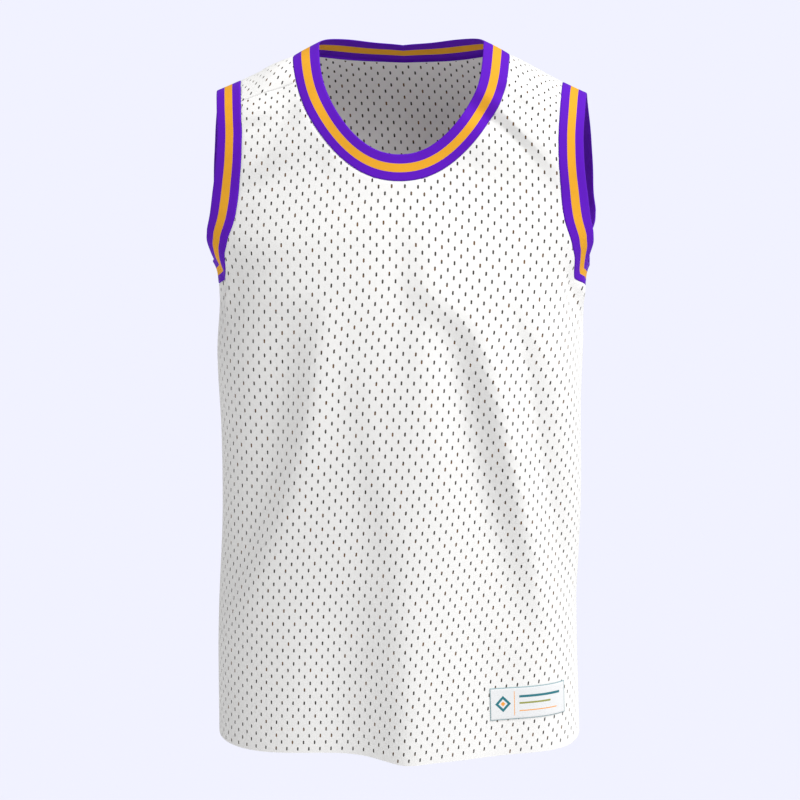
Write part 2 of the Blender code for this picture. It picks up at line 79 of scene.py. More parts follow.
# --- The form -------------------------------------------------------------------------
class Section(NamedTuple):
    """A cross-section of the form at a drop below the shoulder ridge."""

    drop: float
    half_width: float
    front: float
    back: float
    squareness: float
    slope: float
    sway: float


SECTIONS = (
    Section(0.000, 0.2500, 0.076, 0.076, 2.50, 1.00, 0.0000),
    Section(0.060, 0.2450, 0.0725, 0.089, 2.50, 0.90, 0.0000),
    Section(0.110, 0.2350, 0.0715, 0.098, 2.50, 0.78, 0.0000),
    Section(0.140, 0.2245, 0.0800, 0.103, 2.50, 0.68, 0.0000),
    Section(0.175, 0.2026, 0.0930, 0.1090, 2.50, 0.560, -0.0003),
    Section(0.195, 0.1927, 0.0985, 0.1115, 2.52, 0.505, 0.0005),
    Section(0.223, 0.1889, 0.1050, 0.1140, 2.55, 0.430, 0.0007),
    Section(0.290, 0.1893, 0.112, 0.116, 2.60, 0.36, -0.0013),
    Section(0.380, 0.1855, 0.113, 0.115, 2.60, 0.32, -0.0015),
    Section(0.470, 0.1847, 0.110, 0.111, 2.60, 0.26, -0.0020),
    Section(0.580, 0.1876, 0.106, 0.107, 2.60, 0.17, -0.0040),
    Section(0.720, 0.1900, 0.102, 0.105, 2.60, 0.08, -0.0020),
)


class FoldRow(NamedTuple):
    """One station down a fold: its middle, the rise, and its two half widths."""

    drop: float
    across: float
    rise: float
    to_trough: float
    to_ridge: float


class Pucker(NamedTuple):
    """A short crease by its middle, its turn from level, and its two half sizes."""

    across: float
    drop: float
    turn: float
    half_length: float
    half_width: float
    rise: float


# Each fold is a soft step across the cloth: a trough, then a ridge on its +X side, or the
# other way round where the rise is negative.
FRONT_FOLDS = {
    "chest to left hip": (
        FoldRow(0.200, 0.006, 0.0000, 0.018, 0.016),
        FoldRow(0.228, 0.024, 0.0012, 0.020, 0.018),
        FoldRow(0.243, 0.048, 0.0024, 0.024, 0.018),
        FoldRow(0.258, 0.065, 0.0055, 0.024, 0.016),
        FoldRow(0.278, 0.076, 0.0095, 0.022, 0.015),
        FoldRow(0.305, 0.083, 0.0125, 0.021, 0.015),
        FoldRow(0.365, 0.100, 0.0135, 0.022, 0.014),
        FoldRow(0.435, 0.119, 0.0125, 0.023, 0.013),
        FoldRow(0.505, 0.137, 0.0075, 0.023, 0.012),
        FoldRow(0.565, 0.150, 0.0030, 0.022, 0.012),
        FoldRow(0.610, 0.160, 0.0000, 0.020, 0.012),
    ),
    "breastbone": (
        FoldRow(0.130, 0.010, 0.0000, 0.012, 0.018),
        FoldRow(0.180, 0.011, 0.0022, 0.013, 0.020),
        FoldRow(0.235, 0.015, 0.0040, 0.015, 0.020),
        FoldRow(0.290, 0.016, 0.0030, 0.016, 0.018),
        FoldRow(0.380, 0.012, 0.0000, 0.016, 0.016),
    ),
    "left flank": (
        FoldRow(0.215, 0.117, 0.0000, 0.006, 0.020),
        FoldRow(0.250, 0.127, 0.0045, 0.006, 0.024),
        FoldRow(0.310, 0.144, 0.0085, 0.007, 0.030),
        FoldRow(0.380, 0.160, 0.0100, 0.008, 0.034),
        FoldRow(0.450, 0.178, 0.0090, 0.009, 0.032),
        FoldRow(0.510, 0.196, 0.0055, 0.010, 0.024),
        FoldRow(0.570, 0.214, 0.0000, 0.010, 0.016),
    ),
    "right flank": (
        FoldRow(0.220, -0.084, 0.0000, 0.022, 0.013),
        FoldRow(0.255, -0.088, 0.0050, 0.025, 0.014),
        FoldRow(0.295, -0.092, 0.0095, 0.028, 0.015),
        FoldRow(0.350, -0.102, 0.0120, 0.029, 0.016),
        FoldRow(0.410, -0.117, 0.0115, 0.029, 0.017),
        FoldRow(0.470, -0.137, 0.0085, 0.028, 0.019),
        FoldRow(0.530, -0.162, 0.0050, 0.026, 0.020),
        FoldRow(0.620, -0.190, 0.0000, 0.026, 0.020),
    ),
    "lower middle": (
        FoldRow(0.380, -0.016, 0.0000, 0.026, 0.020),
        FoldRow(0.440, -0.014, 0.0020, 0.030, 0.020),
        FoldRow(0.510, -0.012, 0.0055, 0.036, 0.021),
        FoldRow(0.590, -0.009, 0.0105, 0.042, 0.021),
        FoldRow(0.670, -0.008, 0.0145, 0.044, 0.021),
        FoldRow(0.740, -0.009, 0.0160, 0.044, 0.021),
    ),
    "middle": (
        FoldRow(0.290, -0.040, 0.0000, 0.014, 0.012),
        FoldRow(0.340, -0.038, 0.0012, 0.014, 0.012),
        FoldRow(0.400, -0.034, 0.0020, 0.015, 0.012),
        FoldRow(0.470, -0.022, 0.0015, 0.016, 0.014),
        FoldRow(0.540, -0.010, 0.0000, 0.016, 0.014),
    ),
    "lower left": (
        FoldRow(0.260, 0.036, 0.0000, 0.028, 0.026),
        FoldRow(0.350, 0.044, -0.0045, 0.032, 0.028),
        FoldRow(0.450, 0.054, -0.0085, 0.036, 0.034),
        FoldRow(0.560, 0.064, -0.0125, 0.042, 0.042),
        FoldRow(0.660, 0.070, -0.0150, 0.048, 0.048),
        FoldRow(0.740, 0.072, -0.0165, 0.050, 0.050),
    ),
    "left yoke": (
        FoldRow(0.026, 0.058, 0.0000, 0.018, 0.014),
        FoldRow(0.038, 0.071, 0.0070, 0.020, 0.014),
        FoldRow(0.048, 0.081, 0.0095, 0.020, 0.013),
        FoldRow(0.060, 0.096, 0.0085, 0.018, 0.012),
        FoldRow(0.072, 0.109, 0.0045, 0.016, 0.011),
        FoldRow(0.096, 0.127, 0.0016, 0.012, 0.010),
        FoldRow(0.124, 0.138, 0.0000, 0.010, 0.009),
    ),
}
BACK_FOLDS = {
    "blade to right hip": (
        FoldRow(0.200, -0.030, 0.0000, 0.024, 0.016),
        FoldRow(0.290, -0.062, -0.0080, 0.024, 0.016),
        FoldRow(0.390, -0.092, -0.0110, 0.024, 0.015),
        FoldRow(0.500, -0.118, -0.0090, 0.024, 0.014),
        FoldRow(0.620, -0.146, 0.0000, 0.024, 0.014),
    ),
    "blade to left hip": (
        FoldRow(0.220, 0.062, 0.0000, 0.024, 0.014),
        FoldRow(0.310, 0.086, 0.0080, 0.024, 0.014),
        FoldRow(0.420, 0.112, 0.0100, 0.024, 0.014),
        FoldRow(0.540, 0.142, 0.0070, 0.024, 0.016),
        FoldRow(0.660, 0.166, 0.0000, 0.024, 0.018),
    ),
    "lower back": (
        FoldRow(0.420, 0.030, 0.0000, 0.040, 0.020),
        FoldRow(0.540, 0.022, -0.0060, 0.042, 0.020),
        FoldRow(0.660, 0.012, -0.0120, 0.044, 0.022),
        FoldRow(0.740, 0.006, -0.0150, 0.044, 0.022),
    ),
}
FOLD_TAIL = 0.02  # way past a fold's last row before it may stop
# Each pucker has its ridge on the upper side and its trough on the lower one.
FRONT_PUCKERS = (
    Pucker(0.096, 0.028, 16, 0.017, 0.0060, 0.0024),
    Pucker(0.064, 0.099, 68, 0.010, 0.0050, 0.0004),
    Pucker(-0.098, 0.012, -12, 0.014, 0.0080, 0.0022),
    Pucker(-0.115, 0.038, -4, 0.014, 0.0060, 0.0014),
    Pucker(-0.080, 0.046, 110, 0.022, 0.0100, 0.0022),
    Pucker(-0.100, 0.068, 128, 0.016, 0.0090, 0.0018),
    Pucker(-0.060, 0.100, 84, 0.014, 0.0060, 0.0006),
    Pucker(-0.125, 0.112, 150, 0.018, 0.0100, 0.0012),
    Pucker(-0.200, 0.215, 100, 0.024, 0.0080, 0.0035),
    Pucker(0.202, 0.218, 75, 0.022, 0.0090, 0.0050),
)
BACK_PUCKERS = (
    Pucker(0.070, 0.120, 70, 0.030, 0.0120, 0.0025),
    Pucker(-0.090, 0.140, 120, 0.026, 0.0120, 0.0025),
    Pucker(-0.150, 0.250, 60, 0.030, 0.0120, 0.0030),
    Pucker(0.160, 0.240, 120, 0.024, 0.0100, 0.0030),
)


def read_rows(
    rows: Sequence[NamedTuple], key: str, column: str, at: Array, level: bool = False
) -> Array:
    """Read a table's column with a smooth cubic between its rows.

    Args:
        rows: the table, its key rising from row to row.
        key: the name of the column that `at` is measured in.
        column: the name of the column to read.
        at: key values, held to the table's range.
        level: whether the column starts and ends without a slope.

    Returns:
        The column's values: Hermite cubics through the rows, with mean slopes.
    """
    keys = np.array([getattr(row, key) for row in rows], dtype=float)
    values = np.array([getattr(row, column) for row in rows], dtype=float)
    slopes = np.gradient(values, keys)
    if level:
        slopes[[0, -1]] = 0.0
    at = np.clip(at, keys[0], keys[-1])
    i = np.clip(np.searchsorted(keys, at, side="right") - 1, 0, len(keys) - 2)
    width = keys[i + 1] - keys[i]
    t = (at - keys[i]) / width
    return (
        (2 * t**3 - 3 * t**2 + 1) * values[i]
        + (t**3 - 2 * t**2 + t) * width * slopes[i]
        + (3 * t**2 - 2 * t**3) * values[i + 1]
        + (t**3 - t**2) * width * slopes[i + 1]
    )


def superellipse(angle: Array, squareness: Array | float) -> tuple[Array, Array]:
    """A unit superellipse's point at a bearing.

    Args:
        angle: bearings from the front, in radians.
        squareness: the exponent, 2 for an ellipse and more for squarer corners.

    Returns:
        The way sideways and the way forwards, sin and cos times one over the norm.
    """
    reach = (np.abs(np.sin(angle)) ** squareness + np.abs(np.cos(angle)) ** squareness) ** (
        -1 / squareness
    )
    return reach * np.sin(angle), reach * np.cos(angle)


@dataclass(frozen=True)
class BodyForm:
    """The shape that the cloth keeps, as if a body still filled it."""

    arch: float = 0.120  # drop over which the cloth rounds over the shoulder
    ridge_top: float = 0.034
    ridge_slope: float = 0.418
    ridge_round: float = 0.038
    crest_right: float = 0.0053  # how far the cloth stands up beside the neck
    crest_left: float = 0.0082
    crest_out: float = 0.107
    crest_width: float = 0.046
    crest_run: float = 0.085
    waist_half_width: float = 0.1890
    waist_depth: float = 0.110
    waist_squareness: float = 2.55

    @property
    def quarter_arc(self) -> float:
        """Run of the whole rounding over the shoulder."""
        return self.arch * pi / 2

    def _waist(self) -> tuple[Array, Array]:
        """Bearing and way across over a quarter of the waist, as matching arrays."""
        angle = np.linspace(0, pi / 2, 2001)
        side, fore = superellipse(angle, self.waist_squareness)
        leaps = np.hypot(
            np.diff(self.waist_half_width * side), np.diff(self.waist_depth * fore)
        )
        return angle, np.concatenate([[0.0], np.cumsum(leaps)])

    @property
    def half_panel(self) -> float:
        """Way across from the centre line to a side seam."""
        return float(self._waist()[1][-1])

    def across(self, angle: Array) -> Array:
        """Way across the cloth at a bearing."""
        bearings, ways = self._waist()
        return np.sign(angle) * np.interp(np.abs(angle), bearings, ways)

    def bearing(self, across: Array) -> Array:
        """Bearing at a way across the cloth."""
        bearings, ways = self._waist()
        return np.sign(across) * np.interp(np.abs(across), ways, bearings)

    def drop(self, run: Array) -> Array:
        """Drop below the ridge after a run: a quarter arch, and then straight down."""
        way = np.abs(run)
        turn = np.minimum(way / self.arch, pi / 2)
        return self.arch * (1 - np.cos(turn)) + np.maximum(way - self.quarter_arc, 0)

    def smooth(self, across: Array, run: Array) -> Array:
        """The form without its folds.

        Args:
            across: ways across the cloth.
            run: signed runs over the shoulder, of the same shape.

        Returns:
            Points: x is the half width times the superellipse's side plus the sway, y the
            depth times its front times the sine of the arch, and z the ridge's height
            times the slope kept, plus the two crests beside the neck, less the drop.
        """
        drop = self.drop(run)
        turn = np.sin(np.minimum(np.abs(run) / self.arch, pi / 2))
        front = read_rows(SECTIONS, "drop", "front", drop)
        back = read_rows(SECTIONS, "drop", "back", drop)
        squareness = read_rows(SECTIONS, "drop", "squareness", drop)
        side, fore = superellipse(self.bearing(across), squareness)
        sway = read_rows(SECTIONS, "drop", "sway", drop)
        x = read_rows(SECTIONS, "drop", "half_width", drop) * side + sway
        y = -np.sign(run) * np.where(run >= 0, front, back) * fore * turn
        fallen = np.hypot(x, self.ridge_round) - self.ridge_round
        gable = self.ridge_top - self.ridge_slope * fallen
        right = self.crest_right * np.exp(-(((x + self.crest_out) / self.crest_width) ** 2))
        left = self.crest_left * np.exp(-(((x - self.crest_out) / self.crest_width) ** 2))
        crest = (right + left) * np.exp(-((run / self.crest_run) ** 2))
        z = gable * read_rows(SECTIONS, "drop", "slope", drop) + crest - drop
        return np.stack([x, y, z], axis=-1)

    def fold_height(self, across: Array, run: Array) -> Array:
        """How far the folds lift the cloth off the smooth form.

        Args:
            across: ways across the cloth.
            run: signed runs, of the same shape.

        Returns:
            The sum over the folds of rise times share times t times exp((1 - t squared)
            / 2), where t is the way from the fold's middle over its half width, and the
            same over the puckers with exp(- s squared), s the way along over its half
            length.
        """
        drop = self.drop(run)
        girth = 4 * self.half_panel
        round_body = np.where(run >= 0, across, np.sign(across) * girth / 2 - across)
        height = np.zeros_like(drop)

        def offset_from(way: Array | float, centre: float, facing: int) -> Array:
            """Way round the body from a place on a sheet, towards that sheet's +X."""
            off = round_body - (centre + facing * way)
            return ((off + girth / 2) % girth - girth / 2) * facing

        for folds, puckers, centre, facing in (
            (FRONT_FOLDS, FRONT_PUCKERS, 0.0, 1),
            (BACK_FOLDS, BACK_PUCKERS, girth / 2, -1),
        ):
            for rows in folds.values():
                offset = offset_from(read_rows(rows, "drop", "across", drop), centre, facing)
                inside = (drop > rows[0].drop) & (drop < rows[-1].drop + FOLD_TAIL)
                to_trough = read_rows(rows, "drop", "to_trough", drop)
                to_ridge = read_rows(rows, "drop", "to_ridge", drop)
                t = offset / np.where(offset < 0, to_trough, to_ridge)
                share = np.where(offset < 0, to_trough, to_ridge) / (to_trough + to_ridge)
                rise = inside * read_rows(rows, "drop", "rise", drop, level=True)
                height += rise * share * t * np.exp((1 - t**2) / 2)
            for pucker in puckers:
                offset = offset_from(pucker.across, centre, facing)
                down, turn = drop - pucker.drop, radians(pucker.turn)
                t = (offset * sin(turn) - down * cos(turn)) / pucker.half_width
                s = (offset * cos(turn) + down * sin(turn)) / pucker.half_length
                faces = run * facing >= 0
                height += faces * pucker.rise * t * np.exp((1 - t**2) / 2 - s**2)
        return height

    def _square_to(self, surface: Surface, across: Array, run: Array, step: float) -> Array:
        """Unit normals of a surface, away from the body, by central differences.

        Args:
            surface: gives points for ways across and runs.
            across: ways across, held a step inside the two side seams.
            run: signed runs, of the same shape.
            step: half the way between two points that are compared.

        Returns:
            The way along the run crossed with the way around, brought to length one.
        """
        limit = self.half_panel - step
        held = np.clip(across, -limit, limit)
        along = surface(held, run + step) - surface(held, run - step)
        around = surface(held + step, run) - surface(held - step, run)
        out = np.cross(along, around)
        return out / np.linalg.norm(out, axis=-1, keepdims=True)

    def place(self, across: Array, run: Array) -> Array:
        """Points of the cloth's middle surface: the smooth form moved out by its folds."""
        out = self._square_to(self.smooth, across, run, 2e-4)
        return self.smooth(across, run) + out * self.fold_height(across, run)[..., None]

    def normal(self, across: Array, run: Array) -> Array:
        """Unit normals of the folded cloth, away from the body, by central differences."""
        return self._square_to(self.place, across, run, 1e-3)


# --- The seam lines, each as an array of (across, run) ---------------------------------
class NeckLoop(NamedTuple):
    """An edge of the neckband: where it crosses the ridge, and how far down it runs."""

    half_width: float
    front_run: float
    back_run: float
    front_square: float
    back_square: float


class LiftRow(NamedTuple):
    """How far the neckband's free edge stands up, by the turn from the centre front."""

    turn: float
    lift: float


class ArmRow(NamedTuple):
    """A station down half an armhole, of its seam and of its free edge."""

    place: str
    seam_angle: float
    seam_run: float
    edge_angle: float
    edge_run: float


class Station(NamedTuple):
    """A row of one edge of an armhole, by its rank, with its angle in radians."""

    at: float
    angle: float
    run: float


class HemRow(NamedTuple):
    """What the hem adds to its drop, by the way across."""

    across: float
    extra: float


NECK_LIFT = (
    LiftRow(0, 0.000),
    LiftRow(55, 0.0000),
    LiftRow(75, 0.0000),
    LiftRow(90, 0.0046),
    LiftRow(105, 0.0062),
    LiftRow(120, 0.0072),
    LiftRow(137, 0.0068),
    LiftRow(160, 0.0026),
    LiftRow(180, 0.000),
)
ARM_ROWS = {
    Sheet.FRONT: (
        ArmRow("ridge", 38.3, 0.0000, 45.2, 0.0000),
        ArmRow("yoke", 38.0, 0.0600, 45.0, 0.0580),
        ArmRow("upper chest", 38.0, 0.1150, 45.1, 0.1060),
        ArmRow("chest", 39.7, 0.1600, 47.3, 0.1500),
        ArmRow("lower chest", 43.9, 0.2025, 52.0, 0.1900),
        ArmRow("curve", 51.5, 0.2290, 57.2, 0.2120),
        ArmRow("turn", 56.8, 0.2440, 62.0, 0.2260),
        ArmRow("corner", 63.6, 0.2700, 69.7, 0.2508),
        ArmRow("underarm", 90.0, 0.2872, 90.0, 0.2596),
    ),
    Sheet.BACK: (
        ArmRow("ridge", 38.3, 0.0000, 45.2, 0.0000),
        ArmRow("yoke", 38.3, 0.0600, 45.8, 0.0580),
        ArmRow("upper blade", 39.5, 0.1150, 47.3, 0.1060),
        ArmRow("blade", 41.6, 0.1600, 49.7, 0.1500),
        ArmRow("lower blade", 45.2, 0.2025, 53.5, 0.1900),
        ArmRow("curve", 52.2, 0.2290, 58.5, 0.2120),
        ArmRow("turn", 57.2, 0.2440, 63.1, 0.2260),
        ArmRow("corner", 63.6, 0.2700, 69.9, 0.2508),
        ArmRow("underarm", 90.0, 0.2872, 90.0, 0.2596),
    ),
}
HEM_ROWS = {
    Sheet.FRONT: (
        HemRow(-0.249, 0.000),
        HemRow(-0.170, 0.004),
        HemRow(-0.080, 0.0035),
        HemRow(-0.030, 0.0060),
        HemRow(0.010, 0.0105),
        HemRow(0.040, 0.0085),
        HemRow(0.075, 0.0070),
        HemRow(0.130, 0.0050),
        HemRow(0.190, 0.0035),
        HemRow(0.249, 0.000),
    ),
    Sheet.BACK: (
        HemRow(-0.249, 0.000),
        HemRow(-0.120, 0.003),
        HemRow(0.020, 0.001),
        HemRow(0.110, 0.004),
        HemRow(0.249, 0.000),
    ),
}


class ShoulderSeam(NamedTuple):
    """Runs of a forward shoulder seam, where it starts at the neck and ends at the arm."""

    neck_run: float
    arm_run: float


SHOULDER_SEAMS = {
    Side.RIGHT: ShoulderSeam(0.0660, 0.0610),
    Side.LEFT: ShoulderSeam(0.0580, 0.0485),
}


@dataclass(frozen=True)
class SeamPlan:
    """Every line that the pieces are cut and sewn along."""

    form: BodyForm
    neck_seam: NeckLoop = NeckLoop(0.1110, 0.1990, 0.1045, 2.02, 1.64)
    neck_edge: NeckLoop = NeckLoop(0.0840, 0.1750, 0.0765, 2.05, 1.75)
    bulge_left: float = 0.0045
    bulge_right: float = 0.0024
    bulge_run: float = 0.090
    bulge_reach: float = 0.048
    hem_drop: float = 0.7125
    neck_stations: int = 288
    leg_stations: int = 72
    foot_stations: int = 24
    hem_stations: int = 150
    seam_step: float = 0.004

    def at_width(self, x: Array, run: Array) -> Array:
        """Way across at which the form lies x from the middle."""
        drop = self.form.drop(run)
        squareness = read_rows(SECTIONS, "drop", "squareness", drop)
        side = np.abs(x) / read_rows(SECTIONS, "drop", "half_width", drop)
        fore = (1 - side**squareness) ** (1 / squareness)
        return self.form.across(np.sign(x) * np.arctan2(side, fore))

    def neck_bulge(self, x: Array, run: Array) -> Array:
        """How much wider the neck opens beside the collar bones: a bell over the run."""
        most = np.where(x > 0, self.bulge_left, self.bulge_right)
        return np.sign(x) * most * np.exp(-(((run - self.bulge_run) / self.bulge_reach) ** 2))

    def neck_line(self, edge: BandEdge, turn: Array) -> Array:
        """A neck line by its turn from the centre front.

        Args:
            edge: the sewn edge or the free one.
            turn: turns in radians, towards +X.

        Returns:
            Places on a superellipse whose half height is the front or the back run.
        """
        loop = self.neck_seam if edge is BandEdge.SEAM else self.neck_edge
        front = np.cos(turn) >= 0
        square = np.where(front, loop.front_square, loop.back_square)
        reach = np.where(front, loop.front_run, loop.back_run)
        x = loop.half_width * np.sign(np.sin(turn)) * np.abs(np.sin(turn)) ** (2 / square)
        run = reach * np.sign(np.cos(turn)) * np.abs(np.cos(turn)) ** (2 / square)
        return np.stack([self.at_width(x + self.neck_bulge(x, run), run), run], axis=-1)

    def arm_half(self, side: Side, sheet: Sheet, edge: BandEdge) -> Array:
        """Half an armhole line, from the ridge down its leg and along its foot.

        Args:
            side: the wearer's side.
            sheet: the front half or the back half.
            edge: the sewn edge or the free one.

        Returns:
            Places down a smooth line through the rows to the mitred corner, and then to
            the side seam with a run that levels off as a sine.
        """
        rows = ARM_ROWS[sheet]
        angle_column, run_column = f"{edge.value}_angle", f"{edge.value}_run"
        stations = [
            Station(i, radians(getattr(row, angle_column)), getattr(row, run_column))
            for i, row in enumerate(rows[:-1])
        ]
        at = np.linspace(0, len(stations) - 1, self.leg_stations, endpoint=False)
        leg = np.stack([read_rows(stations, "at", name, at) for name in ("angle", "run")], axis=-1)
        corner, underarm = rows[-2:]
        share = np.arange(self.foot_stations + 1) / self.foot_stations
        start, end = getattr(corner, angle_column), getattr(underarm, angle_column)
        high, low = getattr(corner, run_column), getattr(underarm, run_column)
        foot_angle = np.radians(start + (end - start) * share)
        foot_run = high + (low - high) * np.sin(share * pi / 2)
        foot = np.stack([foot_angle, foot_run], axis=-1)
        line = np.concatenate([leg, foot]) * (side.value, sheet.value)
        return np.stack([self.form.across(line[:, 0]), line[:, 1]], axis=-1)

    def hem(self, sheet: Sheet) -> Array:
        """The hem of a sheet, from -X to +X: level apart from what its rows add."""
        half = self.form.half_panel
        across = np.linspace(-half, half, self.hem_stations)
        drop = self.hem_drop + read_rows(HEM_ROWS[sheet], "across", "extra", across)
        run = sheet.value * (drop - self.form.arch + self.form.quarter_arc)
        return np.stack([across, run], axis=-1)

    def _straight(self, start: Array, end: Array) -> Array:
        """Points between two places, without the ends, a seam step apart."""
        count = max(int(np.linalg.norm(end - start) / self.seam_step), 1)
        return start + (end - start) * (np.arange(1, count)[:, None] / count)

    def side_line(self, side: Side, sheet: Sheet) -> Array:
        """A panel's edge on one side, from the neck seam to the hem.

        Args:
            side: the wearer's side.
            sheet: which panel.

        Returns:
            The shoulder seam, the armhole seam and the side seam, as one line.
        """
        start, stop = SHOULDER_SEAMS[side]
        front = self.arm_half(side, Sheet.FRONT, BandEdge.SEAM)
        if sheet is Sheet.FRONT:
            arm = front[front[:, 1] > stop]
        else:
            over_top = front[front[:, 1] < stop][::-1]
            arm = np.concatenate([over_top, self.arm_half(side, sheet, BandEdge.SEAM)[1:]])
        loop = self.neck_seam
        x = loop.half_width * (1 - (start / loop.front_run) ** loop.front_square) ** (
            1 / loop.front_square
        )
        x = side.value * x
        x += float(self.neck_bulge(np.array(x), np.array(start)))
        neck_end = np.array([[float(self.at_width(np.array(x), np.array(start))), start]])
        arm_end = np.array([[float(np.interp(stop, front[:, 1], front[:, 0])), stop]])
        hem = self.hem(sheet)
        hem_end = hem[:1] if side is Side.RIGHT else hem[-1:]
        shoulder = self._straight(neck_end, arm_end)
        return np.concatenate([neck_end, shoulder, arm_end, arm, self._straight(arm[-1:], hem_end)])

    def panel_outline(self, sheet: Sheet) -> tuple[Array, Array]:
        """A panel's closed outline, its area to the left as it runs.

        Args:
            sheet: which panel.

        Returns:
            The outline, and for each point whether it is on a seam and not on the hem.
        """
        turn = np.arange(self.neck_stations) * 2 * pi / self.neck_stations
        line = self.neck_line(BandEdge.SEAM, turn)
        limit = np.where(
            line[:, 0] > 0, SHOULDER_SEAMS[Side.LEFT].neck_run, SHOULDER_SEAMS[Side.RIGHT].neck_run
        )
        ahead = line[:, 1] > limit
        if sheet is Sheet.FRONT:
            kept = line[ahead]
            neck = kept[np.argsort(kept[:, 0])]
        else:
            neck = line[~ahead][::-1]
        right, left = self.side_line(Side.RIGHT, sheet), self.side_line(Side.LEFT, sheet)
        hem = self.hem(sheet)
        parts = [neck[::-1], right, hem, left[::-1]]
        outline = np.concatenate(parts)
        sewn = np.concatenate([np.full(len(part), part is not hem) for part in parts])
        ahead_point = np.roll(outline, -1, axis=0)
        area = np.sum(outline[:, 0] * ahead_point[:, 1] - outline[:, 1] * ahead_point[:, 0])
        return (outline, sewn) if area > 0 else (outline[::-1], sewn[::-1])


LEAST_CORNER = 0.6  # keeps a sharp corner of a moved outline from running out
BATCH = 4096  # points measured at a time


def move_outline(outline: Array, distance: Array) -> Array:
    """Move a closed outline's points inwards, square to its two sides at each.

    Args:
        outline: points with the area to their left.
        distance: the way inwards of each point, below 0 for outwards.

    Returns:
        The moved points.
    """
    first = outline - np.roll(outline, 1, axis=0)
    second = np.roll(outline, -1, axis=0) - outline
    first /= np.linalg.norm(first, axis=1, keepdims=True)
    second /= np.linalg.norm(second, axis=1, keepdims=True)
    turn_left = np.array([[0.0, 1.0], [-1.0, 0.0]])
    corner = (first + second) @ turn_left
    scale = np.maximum((corner * (first @ turn_left)).sum(axis=1), LEAST_CORNER)
    return outline + corner * (distance / scale)[:, None]


def inside_outline(points: Array, outline: Array) -> Array:
    """Which points lie inside a closed outline, by the even-odd rule."""
    start, end = outline, np.roll(outline, -1, axis=0)
    px, py = points[:, 0, None], points[:, 1, None]
    spans = (start[:, 1] > py) != (end[:, 1] > py)
    rise = np.where(end[:, 1] == start[:, 1], 1.0, end[:, 1] - start[:, 1])
    crossing = start[:, 0] + (py - start[:, 1]) / rise * (end[:, 0] - start[:, 0])
    return (spans & (px < crossing)).sum(axis=1) % 2 == 1


def nearest_on(points: Array, outline: Array, kept: Array) -> tuple[Array, Array]:
    """The signed way from each point to the kept sides of a closed outline.

    Args:
        points: places, of shape (n, 2).
        outline: a closed outline with its area to the left.
        kept: for each side, from a point to the next, whether it counts.

    Returns:
        The signed distance, positive inside, and the unit normal inwards there.
    """
    start, end = outline[kept], np.roll(outline, -1, axis=0)[kept]
    way = end - start
    length = np.linalg.norm(way, axis=1)
    inward = np.stack([-way[:, 1], way[:, 0]], axis=1) / length[:, None]
    best = np.full(len(points), np.inf)
    side = np.zeros(len(points), dtype=int)
    for low in range(0, len(points), BATCH):
        some = points[low : low + BATCH, None] - start[None]
        share = np.clip((some * way).sum(axis=2) / length**2, 0, 1)
        gap = np.linalg.norm(some - share[..., None] * way, axis=2)
        side[low : low + BATCH] = gap.argmin(axis=1)
        best[low : low + BATCH] = gap.min(axis=1)
    sign = np.where(inside_outline(points, outline), 1.0, -1.0)
    return sign * best, inward[side]


# --- The grain of the mesh cloth --------------------------------------------------------
class PitchRow(NamedTuple):
    """Run between two neighbouring rows of holes, and how level the rows keep."""

    run: float
    pitch: float
    level: float


GRAIN_ROWS = {
    Sheet.FRONT: (
        PitchRow(0.00, 0.0074, 0.50),
        PitchRow(0.05, 0.0072, 0.50),
        PitchRow(0.08, 0.0068, 0.47),
        PitchRow(0.115, 0.0059, 0.38),
        PitchRow(0.16, 0.0059, 0.25),
        PitchRow(0.22, 0.0063, 0.13),
        PitchRow(0.28, 0.0068, 0.04),
        PitchRow(0.34, 0.0073, 0.00),
        PitchRow(0.42, 0.0076, 0.00),
        PitchRow(0.52, 0.0074, 0.00),
        PitchRow(0.62, 0.0073, 0.00),
        PitchRow(0.80, 0.0072, 0.00),
    ),
    Sheet.BACK: (
        PitchRow(-0.10, 0.0088, -0.50),
        PitchRow(-0.06, 0.0094, -0.50),
        PitchRow(-0.04, 0.0120, -0.50),
        PitchRow(-0.01, 0.0145, -0.42),
        PitchRow(0.03, 0.0148, 0.05),
        PitchRow(0.06, 0.0140, 0.38),
        PitchRow(0.09, 0.0104, 0.53),
        PitchRow(0.115, 0.0084, 0.60),
        PitchRow(0.14, 0.0074, 0.57),
        PitchRow(0.18, 0.0066, 0.49),
        PitchRow(0.24, 0.0064, 0.38),
        PitchRow(0.34, 0.0069, 0.25),
        PitchRow(0.45, 0.0072, 0.16),
        PitchRow(0.60, 0.0074, 0.09),
        PitchRow(0.80, 0.0074, 0.03),
    ),
}


